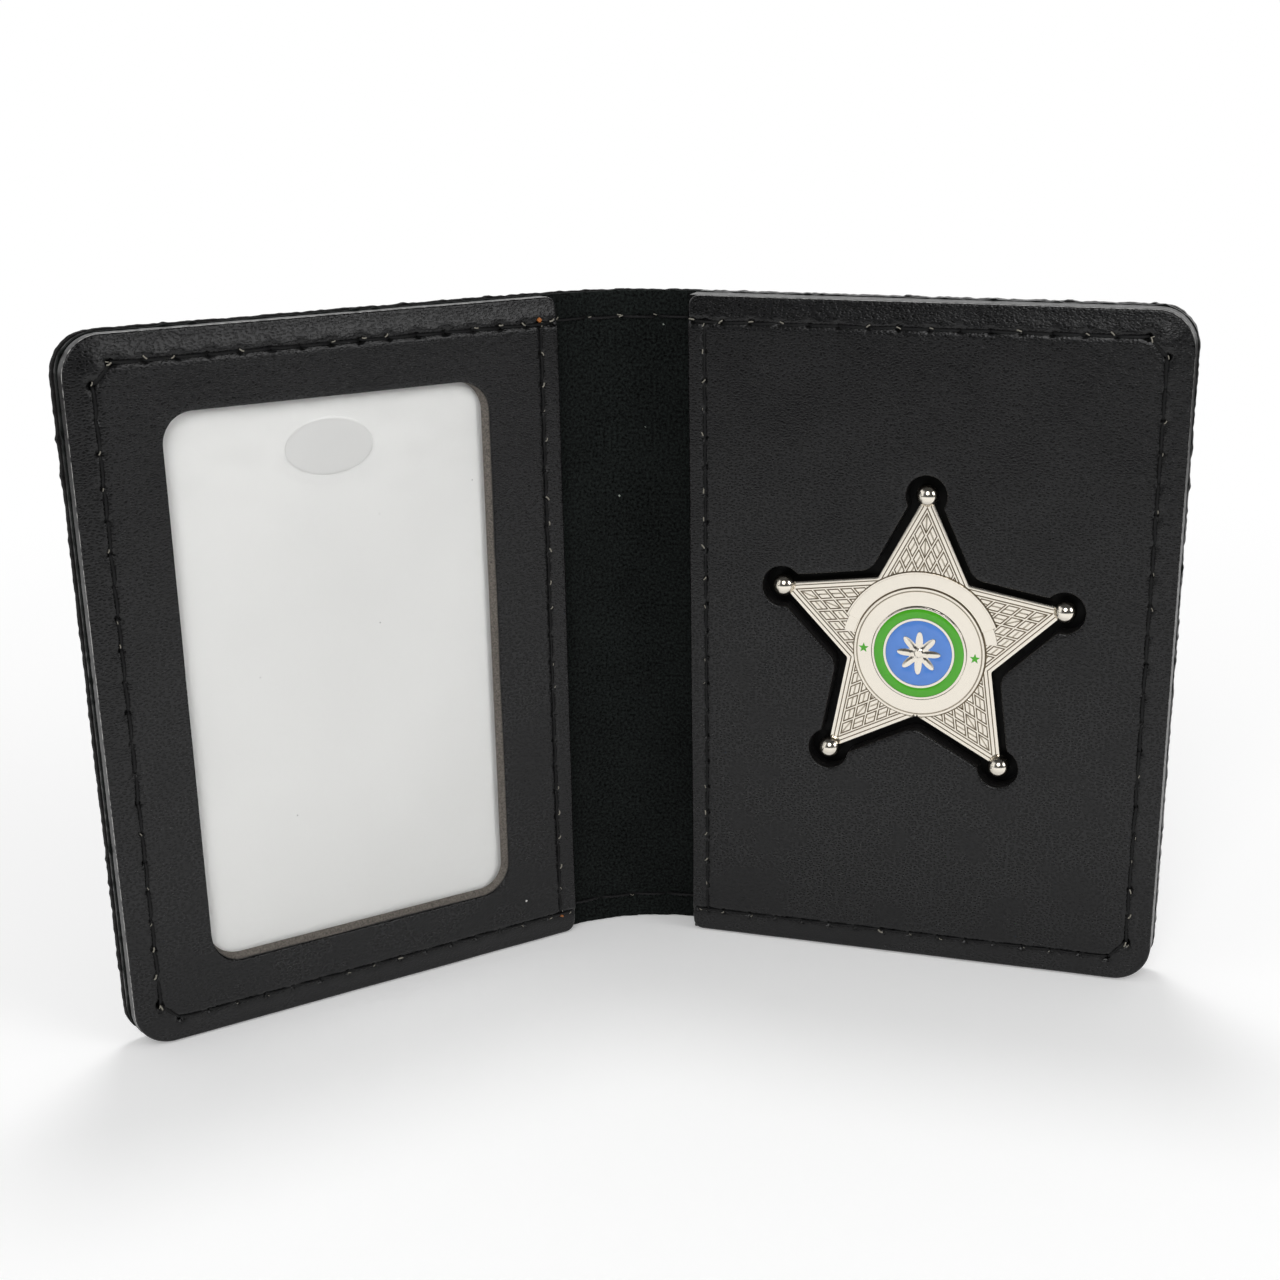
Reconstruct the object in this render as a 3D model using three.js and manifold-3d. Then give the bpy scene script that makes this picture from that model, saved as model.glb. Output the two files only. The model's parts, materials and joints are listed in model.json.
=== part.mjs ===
// Folding leather case for an identity card and a star badge, standing open on its bottom edges.
// Sizes are in millimetres, +Z is up. The window leaf stands in the XZ plane and faces -Y.
// The badge leaf is turned towards the viewer about the spine. The origin is on the foot of the
// window leaf's cover leather, below the edge of its inner panel and in the middle of the leather.

import * as THREE from 'three';
import Module from 'manifold-3d';
import { mergeVertices } from 'three/addons/utils/BufferGeometryUtils.js';

const wasm = await Module();
wasm.setup();

// The card that the case is made round, a standard identity card, and the leather left about it
const cardHeight = 85.6;
const cardWidth = 54;
const cardThickness = 0.76;
const cardCornerRadius = 3.2;
const marginAboveCard = 9.2;
const marginBesideCard = 10.5;
const leafHeight = cardHeight + 2 * marginAboveCard;
const leafWidth = cardWidth + 2 * marginBesideCard;
const leafCornerRadius = 6;

// Spine, measured along the face of its lining between the two inner panels
const spineLength = 23.5;
const openAngle = 128;
const foldInset = 5;
const splitGap = 0.3;

// Leather, board and clear sheet, with the air that is left between two layers
const coverThickness = 1.2;
const liningThickness = 0.6;
const stiffenerThickness = 0.8;
const panelThickness = 1.2;
const clearThickness = 0.3;
const backingThickness = 1.6;
const spacerThickness = 1.8;
const layerGap = 0.2;

// Inner panels
const panelInset = 0.3;
const panelInnerCornerRadius = 1.5;
const seamBand = 3.6;
const seamDrop = 0.8;
const badgeSeamDrop = 0.6;
const shoulder = 1.4;
const cutEdge = 0.4;

// Window and card pocket
const cardLip = 2.2;
const windowCornerRadius = 4.5;
const pocketRoom = 0.4;
const clearMouthEdge = 2.5;
const thumbSlotWidth = 13.5;
const thumbSlotHeight = 8;
const thumbSlotBelowEdge = 3.3;

// Star badge
const badgeTilt = 1.4;
const badgeShiftAcross = -0.9;
const badgeShiftUp = 0.5;
const ballCircle = 22.9;
const ballRadius = 1.75;
const notchRadius = 11.9;
const tipHalfWidth = 0.8;
const starThickness = 1.6;
const rimWidth = 1.0;
const rimHeight = 0.35;
const recessClearance = 1.4;
const starSeatGap = 0.3;

// Raised ring, banner and seal on the star
const ringRadius = 10.2;
const ringHeight = 0.35;
const bannerWidth = 2.5;
const bannerHalfSpan = 66;
const bannerTailSpan = 12;
const bannerTailDrop = 0.25;
const sealBand = 2.8;
const sealThickness = 0.5;
const sealProud = 0.15;
const sealClearance = 0.1;
const enamelDepth = 0.3;
const enamelGap = 0.06;
const greenBand = 1.5;
const sealWire = 0.35;
const rosetteRadius = 3.4;
const rosetteWaist = 1.5;
const rosettePetals = 8;

// Posts on the star's back and their nuts
const postRadius = 0.8;
const postSpacing = 14;
const postClearance = 0.15;
const nutRadius = 2.6;
const nutThickness = 0.9;
const nutClearance = 0.25;

const colour = {
  cover: '#232326', lining: '#141a1a', board: '#5b4632', panel: '#28282b', clear: '#dfe6ea',
  card: '#e6e6e4', backing: '#101012', spacer: '#161618', nickel: '#d9d3c4', blue: '#5c8fe0',
  green: '#4eb026', nut: '#b9b4a8',
};

// Places that follow from the sizes. A rise is a distance in front of the lining's face.
const bend = THREE.MathUtils.degToRad(180 - openAngle);
const bendRadius = spineLength / bend;
const windowCoverRise = -(liningThickness + stiffenerThickness + 2 * layerGap);
const badgeCoverRise = -(liningThickness + layerGap);
const cardRise = layerGap;
const clearRise = cardRise + cardThickness + layerGap;
const windowPanelBack = clearRise + clearThickness + layerGap;
const windowPanelFront = windowPanelBack + panelThickness;
const backingRise = layerGap;
const spacerRise = backingRise + backingThickness + layerGap;
const badgePanelRise = spacerRise + spacerThickness + layerGap;
const badgePanelFront = badgePanelRise + panelThickness;
const starRise = backingRise + backingThickness + starSeatGap;
const starFront = starRise + starThickness;
const ringFront = starFront + ringHeight;
const sealRadius = ringRadius - sealBand;
const sealRise = ringFront + sealProud - sealThickness;
const sealFront = sealRise + sealThickness;
const ringDrop = notchRadius - ringRadius;
const windowWidth = cardWidth - 2 * cardLip;
const windowHeight = cardHeight - 2 * cardLip;
const tipRadius = ballCircle - ballRadius / 2;

// Shapes
function rounded(corners, steps = 6) {
  // A closed outline through corners [x, y, radius], each rounded by an arc of its own radius
  const points = [];
  corners.forEach(([x, y, radius], i) => {
    const corner = new THREE.Vector2(x, y);
    const count = corners.length;
    const last = new THREE.Vector2(...corners[(i + count - 1) % count]).sub(corner).normalize();
    const next = new THREE.Vector2(...corners[(i + 1) % count]).sub(corner).normalize();
    if (!radius) {
      points.push(corner);
      return;
    }
    const half = Math.acos(THREE.MathUtils.clamp(last.dot(next), -1, 1)) / 2;
    const reach = radius / Math.tan(half);
    const inward = last.clone().add(next).normalize();
    const centre = corner.clone().addScaledVector(inward, radius / Math.sin(half));
    const from = corner.clone().addScaledVector(last, reach).sub(centre).angle();
    let turn = corner.clone().addScaledVector(next, reach).sub(centre).angle() - from;
    turn -= 2 * Math.PI * Math.round(turn / (2 * Math.PI));
    for (let k = 0; k <= steps; k++) {
      const at = from + (turn * k) / steps;
      points.push(new THREE.Vector2(Math.cos(at), Math.sin(at)).multiplyScalar(radius).add(centre));
    }
  });
  return new THREE.Shape(points);
}

function leafOutline(side, inset, innerRadius) {
  // A leaf seen from the front: its spine edge is at x = 0 and its outer corners are round
  const outer = side * (leafWidth - inset);
  const radius = leafCornerRadius - inset;
  return rounded([
    [0, inset, innerRadius],
    [outer, inset, radius],
    [outer, leafHeight - inset, radius],
    [0, leafHeight - inset, innerRadius],
  ]);
}

function rectangle(centreX, centreZ, width, height, radius) {
  const [x, z] = [width / 2, height / 2];
  return rounded([
    [centreX - x, centreZ - z, radius],
    [centreX + x, centreZ - z, radius],
    [centreX + x, centreZ + z, radius],
    [centreX - x, centreZ + z, radius],
  ]);
}

function starOutline(offset, notchRound) {
  // Five arms. The flanks are moved outwards by offset, and where they meet the arm is one point.
  const fifth = Math.PI / 5;
  const tip = new THREE.Vector2(tipHalfWidth, tipRadius);
  const notchRay = new THREE.Vector2(Math.sin(fifth), Math.cos(fifth));
  const along = notchRay.clone().multiplyScalar(notchRadius).sub(tip).normalize();
  const start = tip.clone().addScaledVector(new THREE.Vector2(-along.y, along.x), offset);
  const notch = start.cross(along) / notchRay.cross(along);
  const half = start.x + (along.x * (tipRadius - start.y)) / along.y;
  const point = start.y - (along.y * start.x) / along.x;
  const corners = [];
  for (let arm = 0; arm < 5; arm++) {
    const turn = -2 * fifth * arm;
    const ends = half > 0 ? [[-half, tipRadius], [half, tipRadius]] : [[0, point]];
    ends.forEach(([x, y]) => {
      const end = new THREE.Vector2(x, y).rotateAround(new THREE.Vector2(), turn);
      corners.push([end.x, end.y, 0]);
    });
    const low = notchRay.clone().multiplyScalar(notch).rotateAround(new THREE.Vector2(), turn);
    corners.push([low.x, low.y, notchRound]);
  }
  return rounded(corners, 4);
}

function rosetteOutline(grow) {
  const corners = [];
  for (let k = 0; k < 2 * rosettePetals; k++) {
    const radius = (k % 2 ? rosetteWaist : rosetteRadius) + grow;
    const at = (Math.PI * k) / rosettePetals;
    corners.push([radius * Math.sin(at), radius * Math.cos(at), k % 2 ? 0 : 0.25]);
  }
  return rounded(corners, 3);
}

function arcBand(inner, outer, from, to, steps) {
  // A band round the origin from one angle to another, both measured clockwise from +Y
  const points = [];
  for (let k = 0; k <= steps; k++) {
    const at = THREE.MathUtils.degToRad(from + ((to - from) * k) / steps);
    points.push(new THREE.Vector2(Math.sin(at), Math.cos(at)).multiplyScalar(outer));
  }
  for (let k = steps; k >= 0; k--) {
    const at = THREE.MathUtils.degToRad(from + ((to - from) * k) / steps);
    points.push(new THREE.Vector2(Math.sin(at), Math.cos(at)).multiplyScalar(inner));
  }
  return new THREE.Shape(points);
}

// Solids
function solid(geometry) {
  const bare = geometry.clone();
  bare.deleteAttribute('normal');
  bare.deleteAttribute('uv');
  const merged = mergeVertices(bare, 1e-5);
  return new wasm.Manifold(new wasm.Mesh({
    numProp: 3,
    vertProperties: new Float32Array(merged.attributes.position.array),
    triVerts: new Uint32Array(merged.index.array),
  }));
}

function geometryOf(body) {
  const mesh = body.getMesh();
  const geometry = new THREE.BufferGeometry();
  const corners = new Float32Array(mesh.vertProperties);
  geometry.setAttribute('position', new THREE.BufferAttribute(corners, 3));
  geometry.setIndex(Array.from(mesh.triVerts));
  geometry.computeVertexNormals();
  return geometry;
}

function plate(shape, rise, thickness, place = new THREE.Matrix4()) {
  // A flat piece parallel to the leaf's face, from rise to rise + thickness in front of the lining
  const geometry = new THREE.ExtrudeGeometry(shape, { depth: thickness, bevelEnabled: false });
  geometry.applyMatrix4(place);
  return solid(geometry.rotateX(Math.PI / 2).translate(0, -rise, 0));
}

function pillow(shape, rise, front, edge, drop, segments = 3) {
  // As plate, with its front edge rounded off by edge along the face and drop across it
  const geometry = new THREE.ExtrudeGeometry(shape, {
    depth: front - rise - 2 * drop, bevelEnabled: true, bevelSize: edge, bevelOffset: -edge,
    bevelThickness: drop, bevelSegments: segments,
  });
  return solid(geometry.translate(0, 0, drop).rotateX(Math.PI / 2).translate(0, -rise, 0));
}

function flared(shape, front, edge) {
  // A cutter that opens the front edge of a cut-out by a chamfer
  const geometry = new THREE.ExtrudeGeometry(shape, {
    depth: edge, bevelEnabled: true, bevelSize: edge, bevelThickness: edge, bevelSegments: 1,
  });
  return solid(geometry.rotateX(Math.PI / 2).translate(0, -front, 0));
}

function bentStrip(side, from, to, riseAt, thickness, steps) {
  // Leather that runs from the spine edge of the leaf on one side round the spine. Places along
  // it are measured on the lining's face from the panel's edge, where the bend starts.
  const point = (run, rise) => {
    const at = Math.max(run, 0) / bendRadius;
    const radius = bendRadius - rise;
    const x = radius * Math.sin(at) + Math.min(run, 0);
    return new THREE.Vector2(-side * x, radius * Math.cos(at) - bendRadius);
  };
  const runs = Array.from({ length: steps + 1 }, (_, k) => from + ((to - from) * k) / steps);
  const front = runs.map((run) => point(run, riseAt(run)));
  const back = runs.map((run) => point(run, riseAt(run) - thickness)).reverse();
  const geometry = new THREE.ExtrudeGeometry(new THREE.Shape([...front, ...back]), {
    depth: leafHeight, bevelEnabled: false,
  });
  return solid(geometry);
}

// The cover runs further back where the stiffener lies under it, and eases in round the spine
const coverRiseFromWindow = (run) => {
  const share = THREE.MathUtils.smoothstep(run, 0, spineLength);
  return THREE.MathUtils.lerp(windowCoverRise, badgeCoverRise, share);
};
const coverRiseFromBadge = (run) => coverRiseFromWindow(spineLength - run);
const liningRise = () => 0;

function leafSkin(side, riseAt, thickness) {
  // A leaf's cover or lining: a flat sheet that goes on round the bend as far as the fold line
  const flat = plate(leafOutline(side, 0, 0), riseAt(0) - thickness, thickness);
  const start = -leafCornerRadius / 2;
  return flat.add(bentStrip(side, start, foldInset - splitGap / 2, riseAt, thickness, 6));
}

function spineSkin(riseAt, thickness) {
  const start = foldInset + splitGap / 2;
  return bentStrip(-1, start, spineLength - start, riseAt, thickness, 14);
}

// Window leaf
const windowX = -leafWidth / 2;
const middleZ = leafHeight / 2;

function stiffener() {
  const rise = -(liningThickness + layerGap + stiffenerThickness);
  return plate(leafOutline(-1, panelInset, 0), rise, stiffenerThickness);
}

function raisedArea(side) {
  // The part of a panel inside its seams. It runs out past the spine edge, which has no seam.
  const low = panelInset + seamBand;
  const outer = side * (leafWidth - low);
  const radius = Math.max(leafCornerRadius - low, 1);
  return rounded([
    [-side * seamBand, low, 0],
    [outer, low, radius],
    [outer, leafHeight - low, radius],
    [-side * seamBand, leafHeight - low, 0],
  ]);
}

function sewnPanel(side, back, front, drop) {
  // Panel leather pressed down along its three sewn edges
  const outline = leafOutline(side, panelInset, panelInnerCornerRadius);
  const rim = plate(outline, back, front - drop - back);
  const raised = pillow(raisedArea(side), back, front, shoulder, drop);
  return rim.add(raised.intersect(plate(outline, back, front - back)));
}

function windowPanel() {
  const opening = rectangle(windowX, middleZ, windowWidth, windowHeight, windowCornerRadius);
  const pocketWidth = leafWidth - marginBesideCard + pocketRoom;
  const pocket = rectangle(-pocketWidth / 2 + seamBand, middleZ, pocketWidth + 2 * seamBand,
    cardHeight + 2 * pocketRoom, 0);
  return sewnPanel(-1, layerGap, windowPanelFront, seamDrop)
    .subtract(plate(pocket, 0, windowPanelBack))
    .subtract(plate(opening, 0, windowPanelFront + 1))
    .subtract(flared(opening, windowPanelFront - cutEdge, cutEdge));
}

function clearSheet() {
  // Clear sheet over the card, as far as the seam beside the pocket's mouth. A thumb moves the
  // card through the oval slot.
  const outer = leafWidth - marginBesideCard + pocketRoom / 2;
  const sheet = rectangle(-(outer + clearMouthEdge) / 2, middleZ, outer - clearMouthEdge,
    cardHeight + pocketRoom, 1);
  const slot = new THREE.Path();
  const slotZ = middleZ + windowHeight / 2 - thumbSlotBelowEdge - thumbSlotHeight / 2;
  slot.absellipse(windowX, slotZ, thumbSlotWidth / 2, thumbSlotHeight / 2, 0, 2 * Math.PI, true, 0);
  sheet.holes.push(new THREE.Path(slot.getPoints(24).slice(0, -1)));
  return plate(sheet, clearRise, clearThickness);
}

function card() {
  const outline = rectangle(windowX, middleZ, cardWidth, cardHeight, cardCornerRadius);
  return plate(outline, cardRise, cardThickness);
}

// Badge leaf
const badgeX = leafWidth / 2 + badgeShiftAcross;
const badgeZ = middleZ + badgeShiftUp;
const onStar = new THREE.Matrix4()
  .makeTranslation(badgeX, badgeZ, 0)
  .multiply(new THREE.Matrix4().makeRotationZ(-THREE.MathUtils.degToRad(badgeTilt)));
const onRing = onStar.clone().multiply(new THREE.Matrix4().makeTranslation(0, -ringDrop, 0));

function atStar(x, z) {
  // The place in the badge leaf of a point measured from the star's centre
  return new THREE.Vector3(x, z, 0).applyMatrix4(onStar);
}

function ballCentres() {
  return Array.from({ length: 5 }, (_, k) => {
    const at = (2 * Math.PI * k) / 5;
    return atStar(ballCircle * Math.sin(at), ballCircle * Math.cos(at));
  });
}

function disc(centre, radius, rise, thickness, sides = 32) {
  const geometry = new THREE.CylinderGeometry(radius, radius, thickness, sides);
  return solid(geometry.translate(centre.x, -rise - thickness / 2, centre.y));
}

function starRecess(rise, thickness) {
  // The cut-out round the star: its outline moved out, with a round end about each ball
  const cut = plate(starOutline(recessClearance, 3), rise, thickness, onStar);
  return ballCentres().reduce((all, centre) => {
    return all.add(disc(centre, ballRadius + recessClearance, rise, thickness));
  }, cut);
}

function badgePanel() {
  const edge = starRecess(badgePanelFront - cutEdge / 2, 1);
  return sewnPanel(1, badgePanelRise, badgePanelFront, badgeSeamDrop)
    .subtract(starRecess(0, badgePanelFront + 1))
    .subtract(edge);
}

function spacer() {
  const sheet = plate(leafOutline(1, panelInset, 0), spacerRise, spacerThickness);
  return sheet.subtract(starRecess(0, badgePanelFront));
}

function postCentres() {
  return [-1, 1].map((side) => atStar((side * postSpacing) / 2, 0));
}

function backing() {
  // Board behind the star, bored for its posts and sunk from behind for their nuts
  const board = plate(leafOutline(1, panelInset, 0), backingRise, backingThickness);
  const sunk = backingRise + nutThickness + nutClearance;
  return postCentres().reduce((all, centre) => {
    return all
      .subtract(disc(centre, postRadius + postClearance, 0, starRise, 20))
      .subtract(disc(centre, nutRadius + nutClearance, 0, sunk, 24));
  }, board);
}

function bannerBand() {
  // A curved banner above the ring, with a folded tail set lower at each end
  const outer = ringRadius + bannerWidth;
  const band = plate(arcBand(ringRadius - 0.2, outer, -bannerHalfSpan, bannerHalfSpan, 20),
    starFront - rimHeight, rimHeight + ringHeight - bannerTailDrop / 2, onRing);
  return [-1, 1].reduce((all, side) => {
    const span = [side * bannerHalfSpan, side * (bannerHalfSpan + bannerTailSpan)].sort((a, b) => a - b);
    const tail = arcBand(ringRadius - 0.2, outer - bannerTailDrop * 2, ...span, 4);
    return all.add(plate(tail, starFront - rimHeight, rimHeight + ringHeight - bannerTailDrop, onRing));
  }, band);
}

function star() {
  // Cast star: flat arms inside a raised rim, a ball on each tip, a ring, a banner and two posts
  const field = plate(starOutline(-rimWidth, 0.5), starFront - rimHeight, rimHeight + 1, onStar);
  const arms = plate(starOutline(0, 0.6), starRise, starThickness, onStar).subtract(field);
  const balls = ballCentres().map((centre) => {
    const ball = new THREE.SphereGeometry(ballRadius, 18, 12);
    return solid(ball.translate(centre.x, -starRise - ballRadius, centre.y));
  });
  const postLength = starRise + starThickness / 2 - backingRise;
  const posts = postCentres().map((centre) => disc(centre, postRadius, backingRise, postLength, 16));
  const ringCentre = atStar(0, -ringDrop);
  const ring = disc(ringCentre, ringRadius, starRise, ringFront - starRise, 56);
  const seat = disc(ringCentre, sealRadius + sealClearance, sealRise - sealClearance, 2, 48);
  const raised = [...balls, ...posts, bannerBand(), ring];
  return raised.reduce((all, piece) => all.add(piece), arms).subtract(seat);
}

function circle(radius) {
  const path = new THREE.Path().absarc(0, 0, radius, 0, 2 * Math.PI);
  return path.getPoints(24).slice(0, -1);
}

function ringShape(outer, inner) {
  const shape = new THREE.Shape(circle(outer));
  shape.holes.push(new THREE.Path(circle(inner)));
  return shape;
}

const greenOuter = sealRadius - sealWire;
const greenInner = greenOuter - greenBand;
const blueRadius = greenInner - sealWire;

function seal() {
  // Round medallion with two sunk cells: a ring, and a field round a raised rosette
  const centre = atStar(0, -ringDrop);
  const floor = sealFront - enamelDepth;
  const ringCell = plate(ringShape(greenOuter, greenInner), floor, enamelDepth + 1, onRing);
  const fieldCell = disc(centre, blueRadius, floor, enamelDepth + 1, 48)
    .subtract(plate(rosetteOutline(0), floor, enamelDepth + 1, onRing));
  return disc(centre, sealRadius, sealRise, sealThickness, 48).subtract(ringCell).subtract(fieldCell);
}

function enamelField() {
  const centre = atStar(0, -ringDrop);
  const floor = sealFront - enamelDepth + enamelGap;
  return disc(centre, blueRadius - enamelGap, floor, enamelDepth - enamelGap, 48)
    .subtract(plate(rosetteOutline(enamelGap), floor - 1, enamelDepth + 2, onRing));
}

function enamelRing() {
  const cell = ringShape(greenOuter - enamelGap, greenInner + enamelGap);
  return plate(cell, sealFront - enamelDepth + enamelGap, enamelDepth - enamelGap, onRing);
}

function postNut(centre) {
  const nut = disc(centre, nutRadius, backingRise + nutClearance / 2, nutThickness, 24);
  return nut.subtract(disc(centre, postRadius + postClearance, 0, starRise, 16));
}

// Assembly
function named(name, body, tint, roughness, metalness = 0) {
  const material = new THREE.MeshStandardMaterial({ color: tint, roughness, metalness });
  const mesh = new THREE.Mesh(geometryOf(body), material);
  mesh.name = name;
  return mesh;
}

const holder = new THREE.Group();
const windowLeaf = new THREE.Group();
const spine = new THREE.Group();
const badgeLeaf = new THREE.Group();

// The cover leather's middle is at y = 0 in the window leaf
const liningFace = windowCoverRise - coverThickness / 2;
windowLeaf.position.set(0, liningFace, 0);
spine.position.copy(windowLeaf.position);
const bendDrop = bendRadius * (1 - Math.cos(bend));
badgeLeaf.position.set(bendRadius * Math.sin(bend), liningFace - bendDrop, 0);
badgeLeaf.rotation.z = -bend;

windowLeaf.add(
  named('cover_window_side', leafSkin(-1, coverRiseFromWindow, coverThickness), colour.cover, 0.5),
  named('stiffener_window_side', stiffener(), colour.board, 0.9),
  named('lining_window_side', leafSkin(-1, liningRise, liningThickness), colour.lining, 0.95),
  named('id_card', card(), colour.card, 0.4),
  named('clear_window', clearSheet(), colour.clear, 0.1),
  named('window_panel', windowPanel(), colour.panel, 0.45),
);
spine.add(
  named('cover_spine', spineSkin(coverRiseFromWindow, coverThickness), colour.cover, 0.5),
  named('lining_spine', spineSkin(liningRise, liningThickness), colour.lining, 0.95),
);
badgeLeaf.add(
  named('cover_badge_side', leafSkin(1, coverRiseFromBadge, coverThickness), colour.cover, 0.5),
  named('lining_badge_side', leafSkin(1, liningRise, liningThickness), colour.lining, 0.95),
  named('badge_backing', backing(), colour.backing, 0.3),
  named('badge_spacer', spacer(), colour.spacer, 0.35),
  named('badge_panel', badgePanel(), colour.panel, 0.45),
  named('badge_star', star(), colour.nickel, 0.2, 1),
  named('badge_seal', seal(), colour.nickel, 0.2, 1),
  named('enamel_field', enamelField(), colour.blue, 0.15),
  named('enamel_ring', enamelRing(), colour.green, 0.15),
);
postCentres().forEach((centre, k) => {
  badgeLeaf.add(named(['post_nut_left', 'post_nut_right'][k], postNut(centre), colour.nut, 0.3, 1));
});
holder.add(windowLeaf, spine, badgeLeaf);
holder.updateMatrixWorld(true);

export default holder;
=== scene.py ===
"""Looks of a folding leather case for an identity card and a star badge, made round its CAD model.

The leather is laid out flat first, as on a cutting table. A place on it is (run, up, rise): run goes
along the lining's face from the window panel's spine edge, towards the badge leaf, up is the height
and rise the distance in front of the lining's face. The function place() then bends it round the
spine into the row frame. All lengths are in metres.
"""

import json
import math

import bmesh
import bpy
import numpy as np
from mathutils import Matrix, Vector
from mathutils.geometry import delaunay_2d_cdt


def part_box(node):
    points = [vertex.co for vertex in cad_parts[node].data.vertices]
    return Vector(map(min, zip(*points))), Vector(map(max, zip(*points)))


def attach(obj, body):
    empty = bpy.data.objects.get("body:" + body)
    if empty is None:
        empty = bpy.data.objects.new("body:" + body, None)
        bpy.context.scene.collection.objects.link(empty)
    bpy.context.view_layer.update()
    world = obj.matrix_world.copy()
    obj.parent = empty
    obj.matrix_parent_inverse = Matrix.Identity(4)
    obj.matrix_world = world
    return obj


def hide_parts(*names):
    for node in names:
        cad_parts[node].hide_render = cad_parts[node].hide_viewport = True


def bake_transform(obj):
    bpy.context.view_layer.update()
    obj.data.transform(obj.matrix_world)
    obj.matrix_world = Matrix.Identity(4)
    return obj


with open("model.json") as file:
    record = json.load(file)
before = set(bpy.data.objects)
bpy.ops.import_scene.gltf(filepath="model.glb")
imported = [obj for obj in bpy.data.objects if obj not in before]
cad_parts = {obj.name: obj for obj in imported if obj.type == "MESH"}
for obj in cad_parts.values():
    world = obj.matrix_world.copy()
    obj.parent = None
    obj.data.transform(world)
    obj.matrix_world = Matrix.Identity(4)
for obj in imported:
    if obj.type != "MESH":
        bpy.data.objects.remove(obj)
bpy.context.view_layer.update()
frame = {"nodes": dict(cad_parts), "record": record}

bl_info = {
    "name": "Leather card and badge case",
    "version": (1, 0, 0),
    "blender": (4, 5, 0),
    "location": "3D View > Sidebar > Case",
    "description": "Dresses the model of a folding leather case with grain, seams, badge and stage",
    "category": "Object",
}

MM = 0.001


def axis_of(mount):
    """The outward direction of one of the model's resting faces."""
    found = [m for m in frame["record"]["mounts"] if m["name"] == mount]
    return Vector(found[0]["axis"])


# The case as it stands, from the model's own boxes
LEAF_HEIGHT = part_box("cover_window_side")[1].z
LEAF_WIDTH = -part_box("cover_window_side")[0].x
BEND = axis_of("window_leaf_back").angle(axis_of("badge_leaf_back"))
LINING_GAP = 0.2 * MM
LINING_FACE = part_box("id_card")[1].y + LINING_GAP
SPINE = 23.5 * MM
MID_SPINE = SPINE / 2
BEND_RADIUS = SPINE / BEND
LEAF_RADIUS = 6 * MM


def place(flat):
    """Places measured on the case laid flat, in the row frame."""
    run, up, rise = np.asarray(flat, float).T
    bent = np.clip(run, 0, SPINE)
    turn = bent / BEND_RADIUS
    radius = BEND_RADIUS - rise
    x = radius * np.sin(turn) + (run - bent) * np.cos(turn)
    y = radius * np.cos(turn) - BEND_RADIUS - (run - bent) * np.sin(turn)
    return np.column_stack((x, y + LINING_FACE, up))


def unplace(points, on_badge):
    """The flat places of points on the badge leaf or, if not there, on the window leaf."""
    edge = SPINE * on_badge
    origin, front = place([[edge, 0, 0], [edge, 0, 1]])
    front = front - origin
    along = np.array((-front[1], front[0], 0))
    offset = np.asarray(points, float) - origin
    return np.column_stack((offset @ along + edge, offset[:, 2], offset @ front))


def flat_box(name):
    """Lowest and highest (run, up, rise) of a node of the model."""
    points = [vertex.co for vertex in frame["nodes"][name].data.vertices]
    flat = unplace(points, "badge" in name or "enamel" in name)
    return flat.min(0), flat.max(0)


def length(name, description, default):
    """A size that is shown in the sidebar."""
    return bpy.props.FloatProperty(
        name=name, description=description, default=default, min=0, unit="LENGTH", precision=5
    )


def linear(hex_colour):
    """An sRGB hex colour in the linear values that shaders take."""
    shares = [int(hex_colour[k:k + 2], 16) / 255 for k in (1, 3, 5)]
    return [s / 12.92 if s <= 0.04045 else ((s + 0.055) / 1.055) ** 2.4 for s in shares]


def tint(name, description, hex_colour):
    """A colour that is shown in the sidebar."""
    return bpy.props.FloatVectorProperty(
        name=name, description=description, default=linear(hex_colour), size=3, min=0, max=1,
        subtype="COLOR",
    )


class HOLDER_PG_leather(bpy.types.PropertyGroup):
    """Sizes of the leather and its seams."""

    seam_inset: length("Seam inset", "From a leaf's edge to its seam", 4.1 * MM)
    corner_cut: length("Corner cut", "How far a seam's corner is cut off", 2.7 * MM)
    window_row: length("Window leaf's row", "From the panel's spine edge to its seam", 3.0 * MM)
    badge_row: length("Badge leaf's row", "From the panel's spine edge to its seam", 2.6 * MM)
    pitch: length("Stitch pitch", "From one awl hole to the next", 4.45 * MM)
    thread: length("Thread", "Diameter of the thread", 0.6 * MM)
    dent: length("Dent", "How deep a tight stitch pulls the leather in at its hole", 0.36 * MM)
    groove: length("Groove", "How deep the seam lies in the leather", 0.16 * MM)
    edge: length("Edge rounding", "Radius of a cut leather edge", 0.3 * MM)
    grain: length("Grain", "Width of a pebble of the grain", 0.62 * MM)
    grain_height: length("Grain height", "Height of a pebble of the grain", 0.37 * MM)
    fringe: length("Fringe", "How far the cover's cut edge wanders", 0.08 * MM)


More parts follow.
